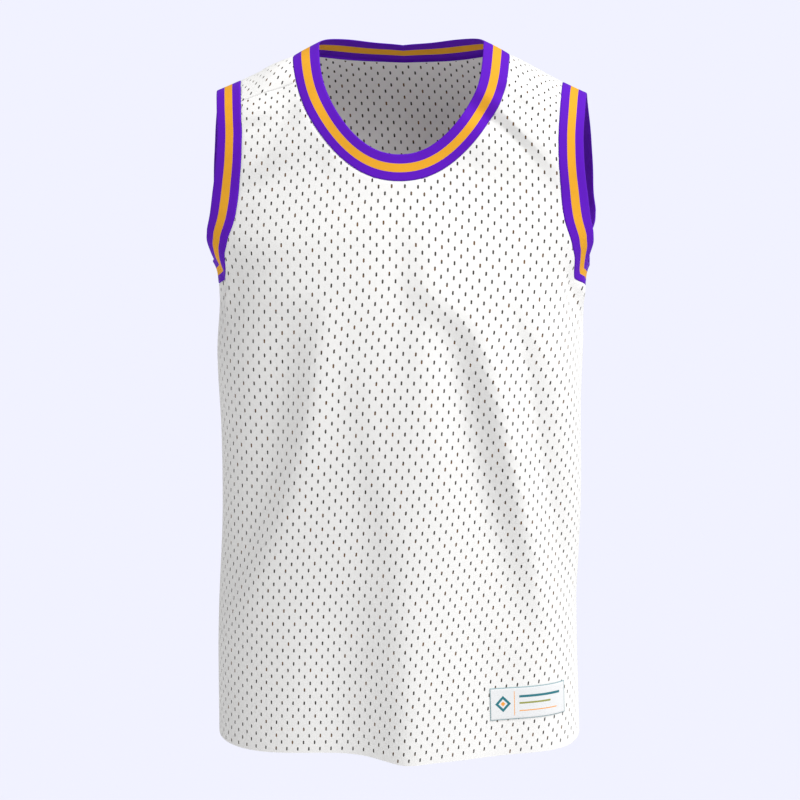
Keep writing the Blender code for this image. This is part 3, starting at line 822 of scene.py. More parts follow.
@dataclass
class MeshGrain:
    """The staggered rows of holes, laid in the cut cloth and carried onto the form.

    A place in the cut cloth has u across the columns and v down the rows. u is the true
    length of the cloth from the centre line plus a slow drift; v adds up the row steps
    down the run, with the rows kept more level than the shoulder.
    """

    form: BodyForm
    sheet: Sheet
    column_step: float = 0.0065
    row_step: float = 0.0074
    hole_width: float = 0.00185
    hole_height: float = 0.0047
    tilt: float = 0.01
    start_u: float = -0.0112
    drift: float = 0.050
    drift_bend: float = 0.060
    spread: float = 0.28
    spread_run: float = 0.35
    top_spread: float = -0.35
    top_run: float = 0.23
    drift_run: float = 0.40
    zero_run: float = 0.4275
    rise_right: float = 0.10
    table_step: float = 0.0025
    table_columns: int = 241
    table_runs: tuple[float, float] = (-0.16, 0.82)
    hole_runs: tuple[float, float] = (-0.18, 0.83)
    most_columns: int = 44  # of holes, to each side of the centre line
    shoulder: float = 0.66  # height of a hole's widest part over its whole height
    lean_run: float = 0.3  # below this run, the rows at the wearer's left begin to drop
    corrections: int = 24
    most_error: float = 2e-4  # of a hole's place that is kept
    most_stretch: float = 1.3  # of a hole across the cloth, past which it isn't kept
    slope_step: float = 0.002
    _tables: dict[str, Array] = field(default_factory=dict, repr=False)

    def __post_init__(self) -> None:
        """Tabulate the true length across the cloth, and the rows passed down the run."""
        half = self.form.half_panel
        across = np.linspace(-half, half, self.table_columns)
        runs = np.arange(*self.table_runs, self.table_step)
        grid_run, grid_across = np.meshgrid(runs, across, indexing="ij")
        points = self.form.place(grid_across, self.sheet.value * grid_run)
        leaps = np.linalg.norm(np.diff(points, axis=1), axis=2)
        length = np.concatenate([np.zeros((len(runs), 1)), np.cumsum(leaps, axis=1)], axis=1)
        length -= length[:, self.table_columns // 2, None]
        pitch = read_rows(GRAIN_ROWS[self.sheet], "run", "pitch", runs)
        passed = np.cumsum(self.row_step / pitch) * self.table_step
        passed -= np.interp(self.zero_run, runs, passed)
        self._tables = {"across": across, "run": runs, "length": length, "passed": passed}

    def _length(self, across: Array, run: Array) -> Array:
        """True length from the centre line, read between the table's four neighbours."""
        t = self._tables
        wide = t["across"][1] - t["across"][0]
        col = np.clip((across - t["across"][0]) / wide, 0, self.table_columns - 1.001)
        row = np.clip((run - t["run"][0]) / self.table_step, 0, len(t["run"]) - 1.001)
        i, j = row.astype(int), col.astype(int)
        a, b = row - i, col - j
        table = t["length"]
        return (
            table[i, j] * (1 - a) * (1 - b)
            + table[i + 1, j] * a * (1 - b)
            + table[i, j + 1] * (1 - a) * b
            + table[i + 1, j + 1] * a * b
        )

    def to_cut(self, place: Array) -> Array:
        """Where a place on the form lies in the cut cloth.

        Args:
            place: (across, run) of shape (n, 2).

        Returns:
            (u, v): u is the true length plus the drift, and v the rows passed at the run
            plus the level share of how far the ridge has fallen there.
        """
        across, run = place[:, 0], place[:, 1] * self.sheet.value
        length = self._length(across, run)
        down = run - self.drift_run
        u = length + self.start_u + self.drift * down + self.drift_bend * down**2
        u = u + self.spread * (run - self.spread_run) * length
        u = u + self.top_spread * np.minimum(run - self.top_run, 0) * length
        fallen = np.hypot(across, self.form.ridge_round) - self.form.ridge_round
        level = run + read_rows(GRAIN_ROWS[self.sheet], "run", "level", run) * fallen
        v = np.interp(level, self._tables["run"], self._tables["passed"])
        below = np.clip((run - self.lean_run) / self.lean_run, 0, 1)
        lean = self.rise_right * np.clip(across, 0, None) * below
        return np.stack([u, v + lean], axis=-1)

    def from_cut(self, cut: Array) -> Array:
        """The place on the form of a point of the cut cloth, by repeated correction."""
        place = np.stack([cut[:, 0], cut[:, 1] + self.zero_run], axis=-1)
        place[:, 1] *= self.sheet.value
        half = self.form.half_panel
        for _ in range(self.corrections):
            error = cut - self.to_cut(place)
            place[:, 0] = np.clip(place[:, 0] + 0.7 * error[:, 0], -half - 0.01, half + 0.01)
            place[:, 1] += 0.8 * error[:, 1] * self.sheet.value
        return place

    def holes(self, outline: Array, clearance: float) -> Array:
        """The holes that lie wholly inside an outline.

        Args:
            outline: the piece's cut edge, as places.
            clearance: least way between a hole and the edge.

        Returns:
            Hexagons of shape (n, 6, 2), each a long drop upright in the grain, as places.
        """
        i = np.arange(-self.most_columns, self.most_columns + 1)
        first, last = (run - self.zero_run for run in self.hole_runs)
        j = np.arange(int(first / self.row_step), int(last / self.row_step))
        grid = np.stack(np.meshgrid(i, j, indexing="ij"), axis=-1).reshape(-1, 2)
        grid = grid[(grid.sum(axis=1) % 2) == 0]
        centre = grid * (self.column_step, self.row_step)
        tip, waist = self.hole_height / 2, self.hole_width / 2
        side = self.shoulder * tip
        shape = np.array(
            [(0, -tip), (waist, -side), (waist, side), (0, tip), (-waist, side), (-waist, -side)]
        )
        shape[:, 0] -= self.tilt * shape[:, 1]
        at = self.from_cut(centre)
        error = np.linalg.norm(self.to_cut(at) - centre, axis=1)
        good = error < self.most_error
        at, centre = at[good], centre[good]
        step = self.slope_step
        to_u, to_v = (
            (self.from_cut(centre + way) - self.from_cut(centre - way)) / (2 * step)
            for way in ((step, 0), (0, step))
        )
        hexagons = at[:, None] + shape[None, :, :1] * to_u[:, None] + shape[None, :, 1:] * to_v[:, None]
        first, second = hexagons[:, 1] - hexagons[:, 0], hexagons[:, 2] - hexagons[:, 1]
        turn = first[:, 0] * second[:, 1] - first[:, 1] * second[:, 0]
        hexagons = np.where((turn > 0)[:, None, None], hexagons, hexagons[:, ::-1])
        hexagons = hexagons[np.abs(to_u[:, 0]) < self.most_stretch]
        everything = np.ones(len(outline), dtype=bool)
        gap, _ = nearest_on(hexagons.reshape(-1, 2), outline, everything)
        return hexagons[(gap.reshape(-1, 6) > clearance).all(axis=1)]


# --- Mesh making ------------------------------------------------------------------------
def make_object(
    name: str, points: Array, faces: Array, uv: Array | None, finish: list[bpy.types.Material]
) -> bpy.types.Object:
    """Put arrays into a mesh object.

    Args:
        name: the piece's name.
        points: vertices, of shape (n, 3).
        faces: corner indices, of shape (m, 3) or (m, 4).
        uv: a place in the cut cloth for each face corner, or None.
        finish: the materials, in slot order.

    Returns:
        The new object, linked to the scene, with smooth faces.
    """
    mesh = bpy.data.meshes.new(name)
    mesh.from_pydata(points.tolist(), [], faces.tolist())
    if uv is not None:
        layer = mesh.uv_layers.new(name="cut_cloth")
        layer.data.foreach_set("uv", uv.astype(np.float32).ravel())
    mesh.shade_smooth()
    for material in finish:
        mesh.materials.append(material)
    piece = bpy.data.objects.new(name, mesh)
    bpy.context.scene.collection.objects.link(piece)
    return piece


def point_normals(points: Array, faces: Array) -> Array:
    """Unit normals of the points of a triangle mesh, weighted by area."""
    a, b, c = (points[faces[:, k]] for k in range(3))
    face_normal = np.cross(b - a, c - a)
    normal = np.zeros_like(points)
    for k in range(3):
        np.add.at(normal, faces[:, k], face_normal)
    return normal / np.maximum(np.linalg.norm(normal, axis=1, keepdims=True), 1e-12)


def border_edges(faces: Array, count: int) -> Array:
    """Directed edges of some triangles that have no neighbour, of shape (n, 2)."""
    edges = np.concatenate([faces[:, [0, 1]], faces[:, [1, 2]], faces[:, [2, 0]]])
    forward = edges[:, 0].astype(np.int64) * count + edges[:, 1]
    backward = edges[:, 1].astype(np.int64) * count + edges[:, 0]
    return edges[~np.isin(forward, backward)]


@dataclass
class MeshPanel:
    """The front or the back of the body, in mesh cloth with sunk holes closed by bottoms of painted shade.
    """

    name: str
    sheet: Sheet
    plan: SeamPlan
    grain: MeshGrain
    thickness: float = 0.0009
    # The holes are closed by dark bottoms of painted shade; this is their height over the middle surface.
    floor_level: float = 0.00008
    allowance: float = 0.0025
    seam_gap: float = 0.0001
    seam_round: float = 0.0007
    hole_clearance: float = 0.0007
    row_spacing: float = 0.0028
    row_clearance: float = 0.0007  # least way from a loose point to the edge
    row_depths: tuple[float, ...] = (0.0012, 0.0024, 0.0038, 0.0056)
    hole_room: tuple[float, float] = (0.0018, 0.0032)  # kept free about a hole's middle
    bend_reach: float = 0.008  # way from a seam over which its bend fades
    hem_reach: float = 0.01  # way past the hem that still counts as inside
    sharp_angle: float = 48.0

    def _seam_bend(self, place: Array, outline: Array, sewn: Array) -> tuple[Array, Array]:
        """Turn the cloth inwards where it meets a seam.

        Args:
            place: places of the panel's points.
            outline: the seam lines and the hem.
            sewn: which of the outline's points are on a seam.

        Returns:
            The moved places, and how deep each point lies: with e the way inside the
            seam, half of e plus the root of e squared and the rounding squared is the way
            kept, and half of the same root less e is the depth.
        """
        kept = sewn & np.roll(sewn, -1)
        way, inward = nearest_on(place, outline, kept)
        longer = outline + np.outer(~sewn, (0.0, self.sheet.value * self.hem_reach))
        way = np.where(inside_outline(place, longer), np.abs(way), -np.abs(way))
        root = np.sqrt(way**2 + self.seam_round**2)
        fade = np.clip(1 - way / self.bend_reach, 0, 1)
        depth = (root - way) / 2
        shift = (self.seam_gap + depth) * fade
        return place + inward * shift[:, None], depth * fade

    def _loose_points(self, outline: Array, holes: Array) -> Array:
        """Rows of points along the edge, clear of the holes, that carry its bend."""
        rows = []
        for distance in self.row_depths:
            line = move_outline(outline, np.full(len(outline), distance))
            way = np.concatenate([[0], np.cumsum(np.linalg.norm(np.diff(line, axis=0), axis=1))])
            at = np.arange(0, way[-1], self.row_spacing)
            rows.append(np.stack([np.interp(at, way, line[:, k]) for k in range(2)], axis=-1))
        points = np.concatenate(rows)
        gap, _ = nearest_on(points, outline, np.ones(len(outline), dtype=bool))
        points = points[gap > self.row_clearance]
        centres = holes.mean(axis=1)
        clear = np.ones(len(points), dtype=bool)
        for low in range(0, len(points), BATCH // 4):
            off = np.abs(points[low : low + BATCH // 4, None] - centres[None])
            clear[low : low + BATCH // 4] = ~(off < self.hole_room).all(axis=2).any(axis=1)
        return points[clear]

    def build(self, finish: list[bpy.types.Material]) -> bpy.types.Object:
        """Cut the panel with its holes, lay it on the form and give it a wall.

        Args:
            finish: the cloth's material, and the painted shade of the bottom of the holes.

        Returns:
            One closed shell. Its outer face has the holes sunk into it, and its inner
            face has them flush.
        """
        seams, sewn = self.plan.panel_outline(self.sheet)
        outline = move_outline(seams, np.where(sewn, -self.allowance, 0.0))
        holes = self.grain.holes(outline, self.hole_clearance)
        loose = self._loose_points(outline, holes)
        flat = np.concatenate([outline, holes.reshape(-1, 2), loose])
        loops = [list(range(len(outline)))]
        loops += [list(range(k, k + 6)) for k in range(len(outline), len(flat) - len(loose), 6)]
        cut = delaunay_2d_cdt([Vector(p) for p in flat.tolist()], [], loops, 1, 1e-7)
        place = np.array([tuple(v) for v in cut[0]])
        faces = np.array(cut[2])
        hole = np.array([max(origins) > 0 for origins in cut[5]])
        faces = faces[:, ::-1] if self.sheet is Sheet.FRONT else faces
        bent, depth = self._seam_bend(place, seams, sewn)
        form_normal = self.plan.form.normal(*bent.T)
        middle = self.plan.form.place(*bent.T) - form_normal * depth[:, None]
        outward = point_normals(middle, faces)
        if (outward * form_normal).sum(axis=1).mean() < 0:
            faces, outward = faces[:, ::-1], -outward
        return self._shell(middle, outward, faces, hole, self.grain.to_cut(place), finish)

    def _shell(
        self, middle: Array, outward: Array, faces: Array, hole: Array, uv: Array, finish: list
    ) -> bpy.types.Object:
        """Close the wall round a triangulated middle surface.

        Args:
            middle: points of the middle surface.
            outward: their normals.
            faces: its triangles, facing outwards.
            hole: which of them are in a hole.
            uv: each point's place in the cut cloth.
            finish: the materials.

        Returns:
            The shell: outer face, inner face, rim, walls of the holes and their bottoms, which carry
                painted shade.
        """
        count = len(middle)
        outer = middle + outward * self.thickness / 2
        inner = middle - outward * self.thickness / 2
        used = np.unique(faces[hole])
        sunk = np.full(count, -1)
        sunk[used] = 2 * count + np.arange(len(used))
        floor = middle[used] + outward[used] * self.floor_level
        points = np.concatenate([outer, inner, floor])
        uv_all = np.concatenate([uv, uv, uv[used]])

        def wall(start: Array, end: Array, end_below: Array, start_below: Array) -> Array:
            """Two triangles for each edge of a wall."""
            quads = np.stack([start, end, end_below, start_below], axis=1)
            return np.concatenate([quads[:, [0, 1, 2]], quads[:, [0, 2, 3]]])

        start, end = border_edges(faces[hole], count).T
        hole_walls = wall(start, end, sunk[end], sunk[start])
        start, end = border_edges(faces, count).T
        rim = wall(end, start, start + count, end + count)
        cloth = np.concatenate([faces[~hole], faces[~hole][:, ::-1] + count, hole_walls, rim])
        # The hole bottoms and the inner face's hole patches take the second material: painted shade.
        dark = np.concatenate([sunk[faces[hole]], faces[hole][:, ::-1] + count])
        all_faces = np.concatenate([cloth, dark])
        piece = make_object(self.name, points, all_faces, uv_all[all_faces.ravel()], finish)
        slots = np.concatenate([np.zeros(len(cloth)), np.ones(len(dark))]).astype(np.int32)
        piece.data.polygons.foreach_set("material_index", slots)
        piece.data.set_sharp_from_angle(angle=radians(self.sharp_angle))
        return piece


@dataclass
class Band:
    """A knitted band between its seam and its free edge, as one closed loop."""

    name: str
    form: BodyForm
    seam: Array
    edge: Array
    lift: Array
    width: float = 0.0285
    outer: float = 0.00075
    inner: float = -0.00055
    span_points: int = 8
    normal_steps: int = 8  # across the band, between places where its normal is worked out

    def _profile(self) -> Array:
        """The band's cut face, from inside the seam round the free edge and back.

        Returns:
            Points as (way from the seam, height over the middle surface), in metres.
        """
        w, top, low = self.width, self.outer, self.inner
        span = np.linspace(0.0035, w - 0.0030, self.span_points)
        fold = ((0.0018, 1.0), (0.0009, 0.88), (0.0003, 0.5))  # back from the edge, and height
        rows = [(0.00015, -0.0025), (0.00015, -0.0012), (0.00018, -0.0003), (0.0004, 0.0003)]
        rows += [(0.0009, 0.92 * top), (0.0017, top)]
        rows += [(s, top) for s in span]
        rows += [(w - back, share * top) for back, share in fold] + [(w, 0.1 * top)]
        rows += [(w - back, share * low) for back, share in fold[::-1]]
        rows += [(s, low) for s in span[::-1]]
        rows += [(0.0022, 1.1 * low), (0.0016, -0.0008), (0.0013, -0.0014), (0.0012, -0.0025)]
        return np.array(rows)

    def build(self, material: bpy.types.Material) -> bpy.types.Object:
        """Carry the profile round the loop.

        Args:
            material: the knit.

        Returns:
            The band: each point is the form's point on the line from seam to edge, raised
            by the lift's share, moved out along the normal by the profile's height.
        """
        profile = self._profile()
        share = profile[:, 0] / self.width
        base, _ = self._laid(share)
        steps = self.normal_steps
        middle, outward = self._laid(np.linspace(0, 1, steps + 1))
        around = np.roll(middle, -1, axis=0) - np.roll(middle, 1, axis=0)
        normal = np.cross(np.gradient(middle, axis=1), around)
        normal /= np.linalg.norm(normal, axis=-1, keepdims=True)
        normal *= np.sign((normal * outward).sum(axis=-1, keepdims=True).mean())
        at = share * steps
        low = np.clip(at.astype(int), 0, steps - 1)
        part = (at - low)[None, :, None]
        mixed = normal[:, low] * (1 - part) + normal[:, low + 1] * part
        mixed /= np.linalg.norm(mixed, axis=-1, keepdims=True)
        points = (base + mixed * profile[None, :, 1, None]).reshape(-1, 3)
        count, across = base.shape[:2]
        k, m = (grid.ravel() for grid in np.meshgrid(np.arange(count), np.arange(across), indexing="ij"))
        k1, m1 = (k + 1) % count, (m + 1) % across
        quads = np.stack([k * across + m, k1 * across + m, k1 * across + m1, k * across + m1], axis=-1)
        centre_line = middle[:, steps // 2]
        leap = np.linalg.norm(np.roll(centre_line, -1, axis=0) - centre_line, axis=1)
        along = np.concatenate([[0], np.cumsum(leap)])
        u0, u1, v0, v1 = along[k], along[k + 1], profile[m, 0], profile[m1, 0]
        corners = np.stack([u0, v0, u1, v0, u1, v1, u0, v1], axis=-1).reshape(-1, 4, 2)
        a, b, c = (points[quads[:, i]] for i in range(3))
        flat_top = (m > 6) & (m < 12)
        lean = np.cross(b - a, c - b) * mixed.reshape(-1, 3)[quads[:, 0]]
        if lean[flat_top].sum(axis=1).mean() < 0:
            quads, corners = quads[:, ::-1], corners[:, ::-1]
        return make_object(self.name, points, quads, corners.reshape(-1, 2), [material])

    def _laid(self, share: Array) -> tuple[Array, Array]:
        """Points and normals of the form at shares of the way from seam to edge, lifted."""
        line = self.seam[:, None] + (self.edge - self.seam)[:, None] * share[None, :, None]
        places = line.reshape(-1, 2).T
        shape = (*line.shape[:2], 3)
        points = self.form.place(*places).reshape(shape)
        points[..., 2] += self.lift[:, None] * share[None]
        return points, self.form.normal(*places).reshape(shape)


@dataclass
class HemPatch:
    """The small woven patch sewn on above the hem at the wearer's left."""

    form: BodyForm
    name: str = "hem_woven_patch"
    across: tuple[float, float] = (0.0994, 0.1900)
    run: tuple[float, float] = (0.7113, 0.7465)
    tip: float = 0.0025
    base: float = 0.00052
    thickness: float = 0.0009
    edge_round: float = 0.0006
    columns: int = 72
    rows: int = 30

    def build(self, material: bpy.types.Material) -> bpy.types.Object:
        """Lay the patch over the front's own shape.

        Args:
            material: the woven finish.

        Returns:
            A closed slab: its top rises from the cloth as one less a falling exponential
            of the way from the edge.
        """
        grow = 0.5 - 0.5 * np.cos(np.linspace(0, pi, self.columns))
        a = 0.6 * np.linspace(0, 1, self.columns) + 0.4 * grow
        b = np.linspace(0, 1, self.rows)
        grid_a, grid_b = np.meshgrid(a, b, indexing="ij")
        across = self.across[0] + (self.across[1] - self.across[0]) * grid_a
        run = self.run[0] + (self.run[1] - self.run[0]) * grid_b - self.tip * (grid_a - 0.5)
        length, height = self.across[1] - self.across[0], self.run[1] - self.run[0]
        edge = np.minimum(
            np.minimum(grid_a, 1 - grid_a) * length, np.minimum(grid_b, 1 - grid_b) * height
        )
        rise = self.thickness * (0.45 + 0.55 * (1 - np.exp(-edge / self.edge_round)))
        middle = self.form.place(across, run)
        normal = self.form.normal(across, run)
        top = middle + normal * (self.base + rise)[..., None]
        low = middle + normal * self.base
        count = self.columns * self.rows
        index = np.arange(count).reshape(self.columns, self.rows)
        face = np.stack([index[:-1, :-1], index[:-1, 1:], index[1:, 1:], index[1:, :-1]], -1).reshape(-1, 4)
        ring = np.concatenate([index[:, 0], index[-1, 1:], index[-2::-1, -1], index[0, -2:0:-1]])
        after = np.roll(ring, -1)
        rim = np.stack([ring, after, after + count, ring + count], axis=-1)
        faces = np.concatenate([face, face[:, ::-1] + count, rim[:, ::-1]])
        uv = np.stack([grid_a * length, (1 - grid_b) * height], axis=-1).reshape(-1, 2)
        uv = np.concatenate([uv, uv])
        piece = make_object(
            self.name, np.concatenate([top.reshape(-1, 3), low.reshape(-1, 3)]), faces,
            uv[faces.ravel()], [material],
        )
        piece.data.set_sharp_from_angle(angle=radians(60))
        return piece


# --- Finishes ---------------------------------------------------------------------------
class Nodes:
    """A short way to lay out one node tree."""

    def __init__(self, tree: bpy.types.NodeTree) -> None:
        """Keep the tree."""
        self.tree = tree

    def add(self, kind: str, inputs: dict | None = None, **settings: object) -> bpy.types.Node:
        """Add a node.

        Args:
            kind: the node's Blender type.
            inputs: what goes into its sockets, by name or number: a value, or a socket.
            settings: its own attributes.

        Returns:
            The node.
        """
        node = self.tree.nodes.new(kind)
        for name, value in settings.items():
            setattr(node, name, value)
        self.feed(node, inputs or {})
        return node

    def feed(self, node: bpy.types.Node, inputs: dict) -> None:
        """Link each socket, and set each value, into a node's inputs by name or number."""
        for key, value in inputs.items():
            if isinstance(value, bpy.types.NodeSocket):
                self.tree.links.new(value, node.inputs[key])
            else:
                node.inputs[key].default_value = value

    def math(self, operation: str, a: object, b: object = 0.0, c: object = 0.0) -> bpy.types.NodeSocket:
        """The result of a Math node on one, two or three inputs."""
        return self.add("ShaderNodeMath", {0: a, 1: b, 2: c}, operation=operation).outputs[0]

    def mix(self, share: object, a: object, b: object) -> bpy.types.NodeSocket:
        """Colour a turned into colour b by a share."""
        return self.add("ShaderNodeMix", {0: share, 6: a, 7: b}, data_type="RGBA").outputs[2]


def new_group(name: str, inputs: Sequence[tuple], outputs: Sequence[tuple]) -> tuple:
    """Start a shader node group.

    Args:
        name: the group's name.
        inputs: (name, socket type, default or None) of each input.
        outputs: (name, socket type) of each output.

    Returns:
        The group, its Nodes, its input node and its output node.
    """
    group = bpy.data.node_groups.new(name, "ShaderNodeTree")
    for label, kind, default in inputs:
        socket = group.interface.new_socket(name=label, in_out="INPUT", socket_type=kind)
        if default is not None:
            socket.default_value = default
    for label, kind in outputs:
        group.interface.new_socket(name=label, in_out="OUTPUT", socket_type=kind)
    nodes = Nodes(group)
    return group, nodes, nodes.add("NodeGroupInput"), nodes.add("NodeGroupOutput")


def knit_relief() -> bpy.types.NodeTree:
    """The group that gives the relief of knitted loops: rounded wales, V courses."""
    group, n, start, end = new_group(
        "Knit relief",
        [("Cloth", "NodeSocketVector", None), ("Wale", "NodeSocketFloat", 0.0009),
         ("Course", "NodeSocketFloat", 0.0007)],
        [("Height", "NodeSocketFloat")],
    )
    split = n.add("ShaderNodeSeparateXYZ", {0: start.outputs["Cloth"]})
    wale = n.math("DIVIDE", split.outputs[0], start.outputs["Wale"])
    off = n.math("PINGPONG", wale, 0.5)
    crown = n.math("SINE", n.math("MULTIPLY", off, pi))
    course = n.math("ADD", n.math("DIVIDE", split.outputs[1], start.outputs["Course"]), off)
    loop = n.math("SINE", n.math("MULTIPLY", course, 2 * pi))
    height = n.math("MULTIPLY_ADD", loop, 0.25, n.math("MULTIPLY", crown, 0.75))
    n.tree.links.new(height, end.inputs["Height"])
    return group


def cloth_tone() -> bpy.types.NodeTree:
    """The group that gives slow unevenness over a cloth, as a value about one."""
    group, n, start, end = new_group(
        "Cloth tone",
        [("Place", "NodeSocketVector", None), ("Scale", "NodeSocketFloat", 30.0),
         ("Depth", "NodeSocketFloat", 0.04)],
        [("Tone", "NodeSocketFloat")],
    )
    grain = {"Vector": start.outputs["Place"], "Scale": start.outputs["Scale"]}
    noise = n.add("ShaderNodeTexNoise", {**grain, "Detail": 3.0, "Roughness": 0.55})
    swing = n.math("SUBTRACT", noise.outputs[0], 0.5)
    tone = n.math("MULTIPLY_ADD", swing, start.outputs["Depth"], 1.0)
    n.tree.links.new(tone, end.inputs["Tone"])
    return group


def new_material(name: str) -> tuple[bpy.types.Material, Nodes, bpy.types.Node]:
    """A material with its Nodes and its Principled shader."""
    material = bpy.data.materials.new(name)
    material.use_nodes = True
    nodes = Nodes(material.node_tree)
    return material, nodes, material.node_tree.nodes["Principled BSDF"]


@dataclass(frozen=True)
class Touch:
    """How a cloth takes the light: its shine, its unevenness and its knitted loops."""

    roughness: float
    specular: float
    tone_scale: float = 1.0
    tone_depth: float = 0.0
    sheen: float = 0.0
    sheen_roughness: float = 0.5
    bump: float = 0.0
    bump_depth: float = 0.0002
    wale: float = 0.0009
    course: float = 0.0007

    def give(
        self, n: Nodes, shader: bpy.types.Node, colour: object, relief: bpy.types.NodeTree,
        tone: bpy.types.NodeTree,
    ) -> None:
        """Wire a cloth's colour, unevenness, shine and loops into its shader.

        Args:
            n: the material's Nodes.
            shader: its Principled shader.
            colour: a colour socket, or three numbers.
            relief: the knit relief group.
            tone: the cloth tone group.
        """
        place = n.add("ShaderNodeTexCoord")
        if self.tone_depth:
            inputs = {"Place": place.outputs["Object"], "Scale": self.tone_scale, "Depth": self.tone_depth}
            uneven = n.add("ShaderNodeGroup", inputs, node_tree=tone).outputs["Tone"]
            scaled = n.add("ShaderNodeVectorMath", {0: colour, "Scale": uneven}, operation="SCALE")
            colour = scaled.outputs[0]
        n.feed(shader, {"Base Color": colour, "Roughness": self.roughness})
        n.feed(shader, {"Specular IOR Level": self.specular, "Sheen Weight": self.sheen})
        n.feed(shader, {"Sheen Roughness": self.sheen_roughness})
        if self.bump:
            inputs = {"Cloth": place.outputs["UV"], "Wale": self.wale, "Course": self.course}
            height = n.add("ShaderNodeGroup", inputs, node_tree=relief).outputs["Height"]
            inputs = {"Strength": self.bump, "Distance": self.bump_depth, "Height": height}
            n.feed(shader, {"Normal": n.add("ShaderNodeBump", inputs).outputs[0]})


@dataclass(frozen=True)
class MeshCloth:
    """White polyester mesh, and the painted shade at the bottom of its holes, standing for the dark inside.
    """

    white: Colour = (0.875, 0.868, 0.855, 1.0)
    # Painted shade: the dark inside of the body that shows through the holes.
    shade: Colour = (0.072, 0.066, 0.060, 1.0)
    # A warm tint of that painted shade, given to some holes by a noise; the four numbers after it set that
    # noise.
    shade_warm_tint: Colour = (0.200, 0.105, 0.045, 1.0)
    shade_tint_scale: float = 130.0
    shade_tint_from: float = 0.57
    shade_tint_full: float = 0.70
    shade_tint_most: float = 0.8
    outside: Touch = Touch(0.78, 0.25, 45.0, 0.03, sheen=0.12, bump=0.25)
    # How the holes' painted shade takes the light, made uneven from hole to hole.
    bottom: Touch = Touch(0.95, 0.05, 60.0, 0.5)

    def build(self, relief: bpy.types.NodeTree, tone: bpy.types.NodeTree) -> list[bpy.types.Material]:
        """Make both materials.

        Args:
            relief: the knit relief group.
            tone: the cloth tone group.

        Returns:
            The cloth, and the painted shade of the holes.
        """
        cloth, n, shader = new_material("white_mesh_knit")
        self.outside.give(n, shader, self.white[:3], relief, tone)
        # The holes' material: painted shade, warmed in some holes.
        shade, n, shader = new_material("mesh_hole_shade")
        place = n.add("ShaderNodeTexCoord").outputs["Object"]
        shade_tint_noise = n.add("ShaderNodeTexNoise", {"Vector": place, "Scale": self.shade_tint_scale, "Detail": 0.0})
        reach = {0: shade_tint_noise.outputs[0], 1: self.shade_tint_from, 2: self.shade_tint_full, 4: self.shade_tint_most}
        warm = n.add("ShaderNodeMapRange", reach)
        tinted = n.mix(warm.outputs[0], self.shade, self.shade_warm_tint)
        self.bottom.give(n, shader, tinted, relief, tone)
        return [cloth, shade]


@dataclass(frozen=True)
class StripedKnit:
    """The bands' rib knit: three stripes across its width, by the way from the seam."""

    purple: Colour = (0.110, 0.0055, 0.50, 1.0)
    gold: Colour = (0.82, 0.385, 0.0235, 1.0)
    first: float = 0.0093  # way from the seam to the gold stripe's near edge
    second: float = 0.0184  # and to its far edge
    touch: Touch = Touch(
        0.78, 0.16, 90.0, 0.10, sheen=0.03, bump=0.35, bump_depth=0.0003, wale=0.0011, course=0.0009
    )

    def build(self, relief: bpy.types.NodeTree, tone: bpy.types.NodeTree) -> bpy.types.Material:
        """Make the striped knit."""
        material, n, shader = new_material("striped_rib_knit")
        place = n.add("ShaderNodeTexCoord")
        split = n.add("ShaderNodeSeparateXYZ", {0: place.outputs["UV"]})
        after = n.math("GREATER_THAN", split.outputs[1], self.first)
        before = n.math("LESS_THAN", split.outputs[1], self.second)
        middle = n.math("MULTIPLY", after, before)
        colour = n.mix(middle, self.purple, self.gold)
        self.touch.give(n, shader, colour, relief, tone)
        return material


@dataclass(frozen=True)
class WovenPatch:
    """The patch's satin weave: a pale ground, a thin edge, and plain woven marks."""

    ground: Colour = (0.79, 0.80, 0.81, 1.0)
    edge: Colour = (0.30, 0.42, 0.45, 1.0)
    teal: Colour = (0.015, 0.175, 0.215, 1.0)
    orange: Colour = (0.90, 0.36, 0.05, 1.0)
    olive: Colour = (0.32, 0.33, 0.08, 1.0)
    length: float = 0.090
    height: float = 0.0352
    border: float = 0.0009
    touch: Touch = Touch(0.55, 0.4, bump=0.3, bump_depth=0.0001, wale=0.0006, course=0.0005)

    def build(self, relief: bpy.types.NodeTree, tone: bpy.types.NodeTree) -> bpy.types.Material:
        """Make the patch's finish: marks are boxes and diamonds in the patch's own place."""
        material, n, shader = new_material("woven_satin_patch")
        place = n.add("ShaderNodeTexCoord")
        split = n.add("ShaderNodeSeparateXYZ", {0: place.outputs["UV"]})
        x, y = split.outputs[0], split.outputs[1]

        def box(x0: float, x1: float, y0: float, y1: float) -> bpy.types.NodeSocket:
            """A mask that is one inside a box."""
            wide = n.math("COMPARE", x, (x0 + x1) / 2, (x1 - x0) / 2)
            high = n.math("COMPARE", y, (y0 + y1) / 2, (y1 - y0) / 2)
            return n.math("MULTIPLY", wide, high)

        def diamond(x0: float, y0: float, reach: float) -> bpy.types.NodeSocket:
            """A mask that is one inside a diamond."""
            dx = n.math("ABSOLUTE", n.math("SUBTRACT", x, x0))
            dy = n.math("ABSOLUTE", n.math("SUBTRACT", y, y0))
            return n.math("LESS_THAN", n.math("ADD", dx, dy), reach)

        inside = box(self.border, self.length - self.border, self.border, self.height - self.border)
        colour = n.mix(inside, self.edge, self.ground)
        marks = [
            (box(0.0270, 0.0278, 0.004, 0.031), self.orange),
            (diamond(0.0145, 0.0176, 0.0090), self.teal),
            (diamond(0.0145, 0.0176, 0.0052), self.ground),
            (diamond(0.0145, 0.0176, 0.0028), self.orange),
            (box(0.0330, 0.0820, 0.0235, 0.0262), self.teal),
            (box(0.0330, 0.0700, 0.0165, 0.0185), self.olive),
            (box(0.0330, 0.0780, 0.0085, 0.0096), self.orange),
        ]
        for mask, thread in marks:
            colour = n.mix(mask, colour, thread)
        self.touch.give(n, shader, colour, relief, tone)
        return material


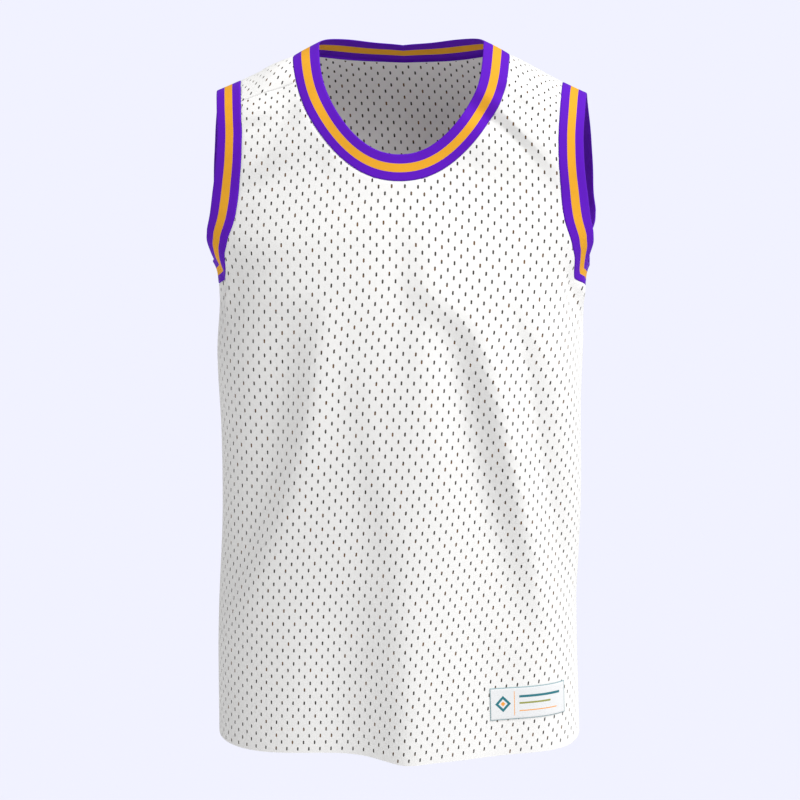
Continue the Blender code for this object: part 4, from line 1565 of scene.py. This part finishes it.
# --- The studio -------------------------------------------------------------------------
@dataclass(frozen=True)
class Studio:
    """A pale floor far below, soft light, and the camera."""

    pitch: float = radians(15.0)
    yaw: float = radians(1.8)
    distance: float = 6.0
    target: tuple[float, float, float] = (-0.0015, 0.0, -0.3575)
    lens: float = 259.07
    floor_level: float = -1.55
    floor_size: float = 60.0
    floor_colour: Colour = (0.673, 0.679, 0.768, 1.0)
    floor_bounce: Colour = (0.80, 0.80, 0.81, 1.0)
    sky: Colour = (0.88, 0.888, 1.0, 1.0)
    sky_light: Colour = (1.0, 1.0, 1.0, 1.0)
    sky_strength: float = 0.28
    key_strength: float = 3.7
    key_direction: tuple[float, float, float] = (0.40, -0.282, 0.871)
    key_angle: float = 36.0

    def camera(self) -> bpy.types.Object:
        """The camera, looking down and a little across at the target."""
        side = Vector((cos(self.yaw), sin(self.yaw), 0.0))
        level = cos(self.pitch)
        ahead = Vector((-sin(self.yaw) * level, cos(self.yaw) * level, -sin(self.pitch)))
        up = side.cross(ahead)
        data = bpy.data.cameras.new("camera")
        data.sensor_fit = "HORIZONTAL"
        data.sensor_width = 36.0
        data.lens = self.lens
        data.clip_end = 100.0
        eye = bpy.data.objects.new("camera", data)
        turn = Matrix((side, up, -ahead)).transposed().to_4x4()
        eye.matrix_world = Matrix.Translation(Vector(self.target) - ahead * self.distance) @ turn
        bpy.context.scene.collection.objects.link(eye)
        bpy.context.scene.camera = eye
        return eye

    def floor(self) -> bpy.types.Object:
        """A plain pale floor."""
        half = self.floor_size / 2
        turns = ((-half, -half), (half, -half), (half, half), (-half, half))
        corners = np.array([(x, y, self.floor_level) for x, y in turns])
        material, n, shader = new_material("pale_floor")
        path = n.add("ShaderNodeLightPath")
        shown = n.mix(path.outputs["Is Camera Ray"], self.floor_bounce, self.floor_colour)
        n.feed(shader, {"Base Color": shown, "Roughness": 0.9, "Specular IOR Level": 0.0})
        piece = make_object("floor", corners, np.array([[0, 1, 2, 3]]), None, [material])
        return piece

    def light(self) -> None:
        """An even sky, and a wide soft key from the upper front at the wearer's left."""
        world = bpy.data.worlds.new("studio")
        bpy.context.scene.world = world
        world.use_nodes = True
        n = Nodes(world.node_tree)
        back = world.node_tree.nodes["Background"]
        seen = n.add("ShaderNodeBackground", {"Color": self.sky, "Strength": 1.0})
        n.feed(back, {"Color": self.sky_light, "Strength": self.sky_strength})
        path = n.add("ShaderNodeLightPath")
        choice = {0: path.outputs["Is Camera Ray"], 1: back.outputs[0], 2: seen.outputs[0]}
        mixed = n.add("ShaderNodeMixShader", choice)
        world.node_tree.links.new(mixed.outputs[0], world.node_tree.nodes["World Output"].inputs[0])
        sun = bpy.data.lights.new("key", "SUN")
        sun.energy = self.key_strength
        sun.angle = radians(self.key_angle)
        key = bpy.data.objects.new("key", sun)
        key.rotation_euler = Vector(self.key_direction).to_track_quat("Z", "Y").to_euler()
        bpy.context.scene.collection.objects.link(key)

    def build(self) -> None:
        """Set the camera, the floor, the light and the plain view transform."""
        self.camera()
        self.floor()
        self.light()
        bpy.context.scene.view_settings.view_transform = "Standard"


# --- The jersey -------------------------------------------------------------------------
@dataclass
class Jersey:
    """Every piece of the jersey, sewn on one plan."""

    form: BodyForm = field(default_factory=BodyForm)

    def __post_init__(self) -> None:
        """Draw the seam plan, and make the shared finishes."""
        self.plan = SeamPlan(self.form)
        relief, tone = knit_relief(), cloth_tone()
        self.mesh_cloth = MeshCloth().build(relief, tone)
        self.striped = StripedKnit().build(relief, tone)
        self.woven = WovenPatch().build(relief, tone)

    def panels(self) -> None:
        """The front and the back of the body."""
        back_grain = MeshGrain(
            self.form, Sheet.BACK, start_u=0.0, drift=-0.05, drift_bend=0.0, spread=0.0,
            top_spread=1.7, top_run=0.0, rise_right=0.0, tilt=-0.03, zero_run=0.0,
        )
        front_grain = MeshGrain(self.form, Sheet.FRONT)
        for name, grain, node, flat, area in (
            ("front_body", front_grain, "front_panel", (0.500, 0.735), 0.305),
            ("back_body", back_grain, "back_panel", (0.500, 0.845), 0.337),
        ):
            piece = MeshPanel(name, grain.sheet, self.plan, grain).build(self.mesh_cloth)
            self.settle(piece, node)

    def bands(self) -> None:
        """The neckband and the two armhole bands."""
        plan = self.plan
        turn = np.arange(plan.neck_stations) * 2 * pi / plan.neck_stations
        from_front = np.degrees(np.minimum(turn, 2 * pi - turn))
        lift = read_rows(NECK_LIFT, "turn", "lift", from_front)
        collar = Band(
            "collar", self.form, plan.neck_line(BandEdge.SEAM, turn),
            plan.neck_line(BandEdge.FREE, turn), lift,
        )
        self.settle(collar.build(self.striped), "neckband")
        for side, name, node in (
            (Side.RIGHT, "right_armhole_trim", "right_armhole_band"),
            (Side.LEFT, "left_armhole_trim", "left_armhole_band"),
        ):
            loops = []
            for edge in (BandEdge.SEAM, BandEdge.FREE):
                front = plan.arm_half(side, Sheet.FRONT, edge)
                back = plan.arm_half(side, Sheet.BACK, edge)
                loops.append(np.concatenate([front, back[-2:0:-1]]))
            band = Band(name, self.form, loops[0], loops[1], np.zeros(len(loops[0])))
            self.settle(band.build(self.striped), node)

    def patch(self) -> None:
        """The woven hem patch."""
        piece = HemPatch(self.form).build(self.woven)
        self.settle(piece, "hem_patch")

    def settle(
        self, piece: bpy.types.Object, node: str
    ) -> None:
        """Say what a finished piece rides on and replaces, and log its triangles.

        Args:
            piece: the finished piece.
            node: the CAD node that it stands for.
        """
        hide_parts(node)
        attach(piece, "root")
        triangles = sum(len(face.vertices) - 2 for face in piece.data.polygons)
        log.info("%s: %d triangles, stands for %s", piece.name, triangles, node)

    def build(self) -> None:
        """Make every piece in the order it is sewn."""
        self.panels()
        self.bands()
        self.patch()


def main() -> None:
    """Build the studio and the jersey."""
    logging.basicConfig(level=logging.INFO, format="%(name)s: %(message)s")
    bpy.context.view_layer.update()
    Studio().build()
    Jersey().build()


if __name__ == "__main__":
    main()
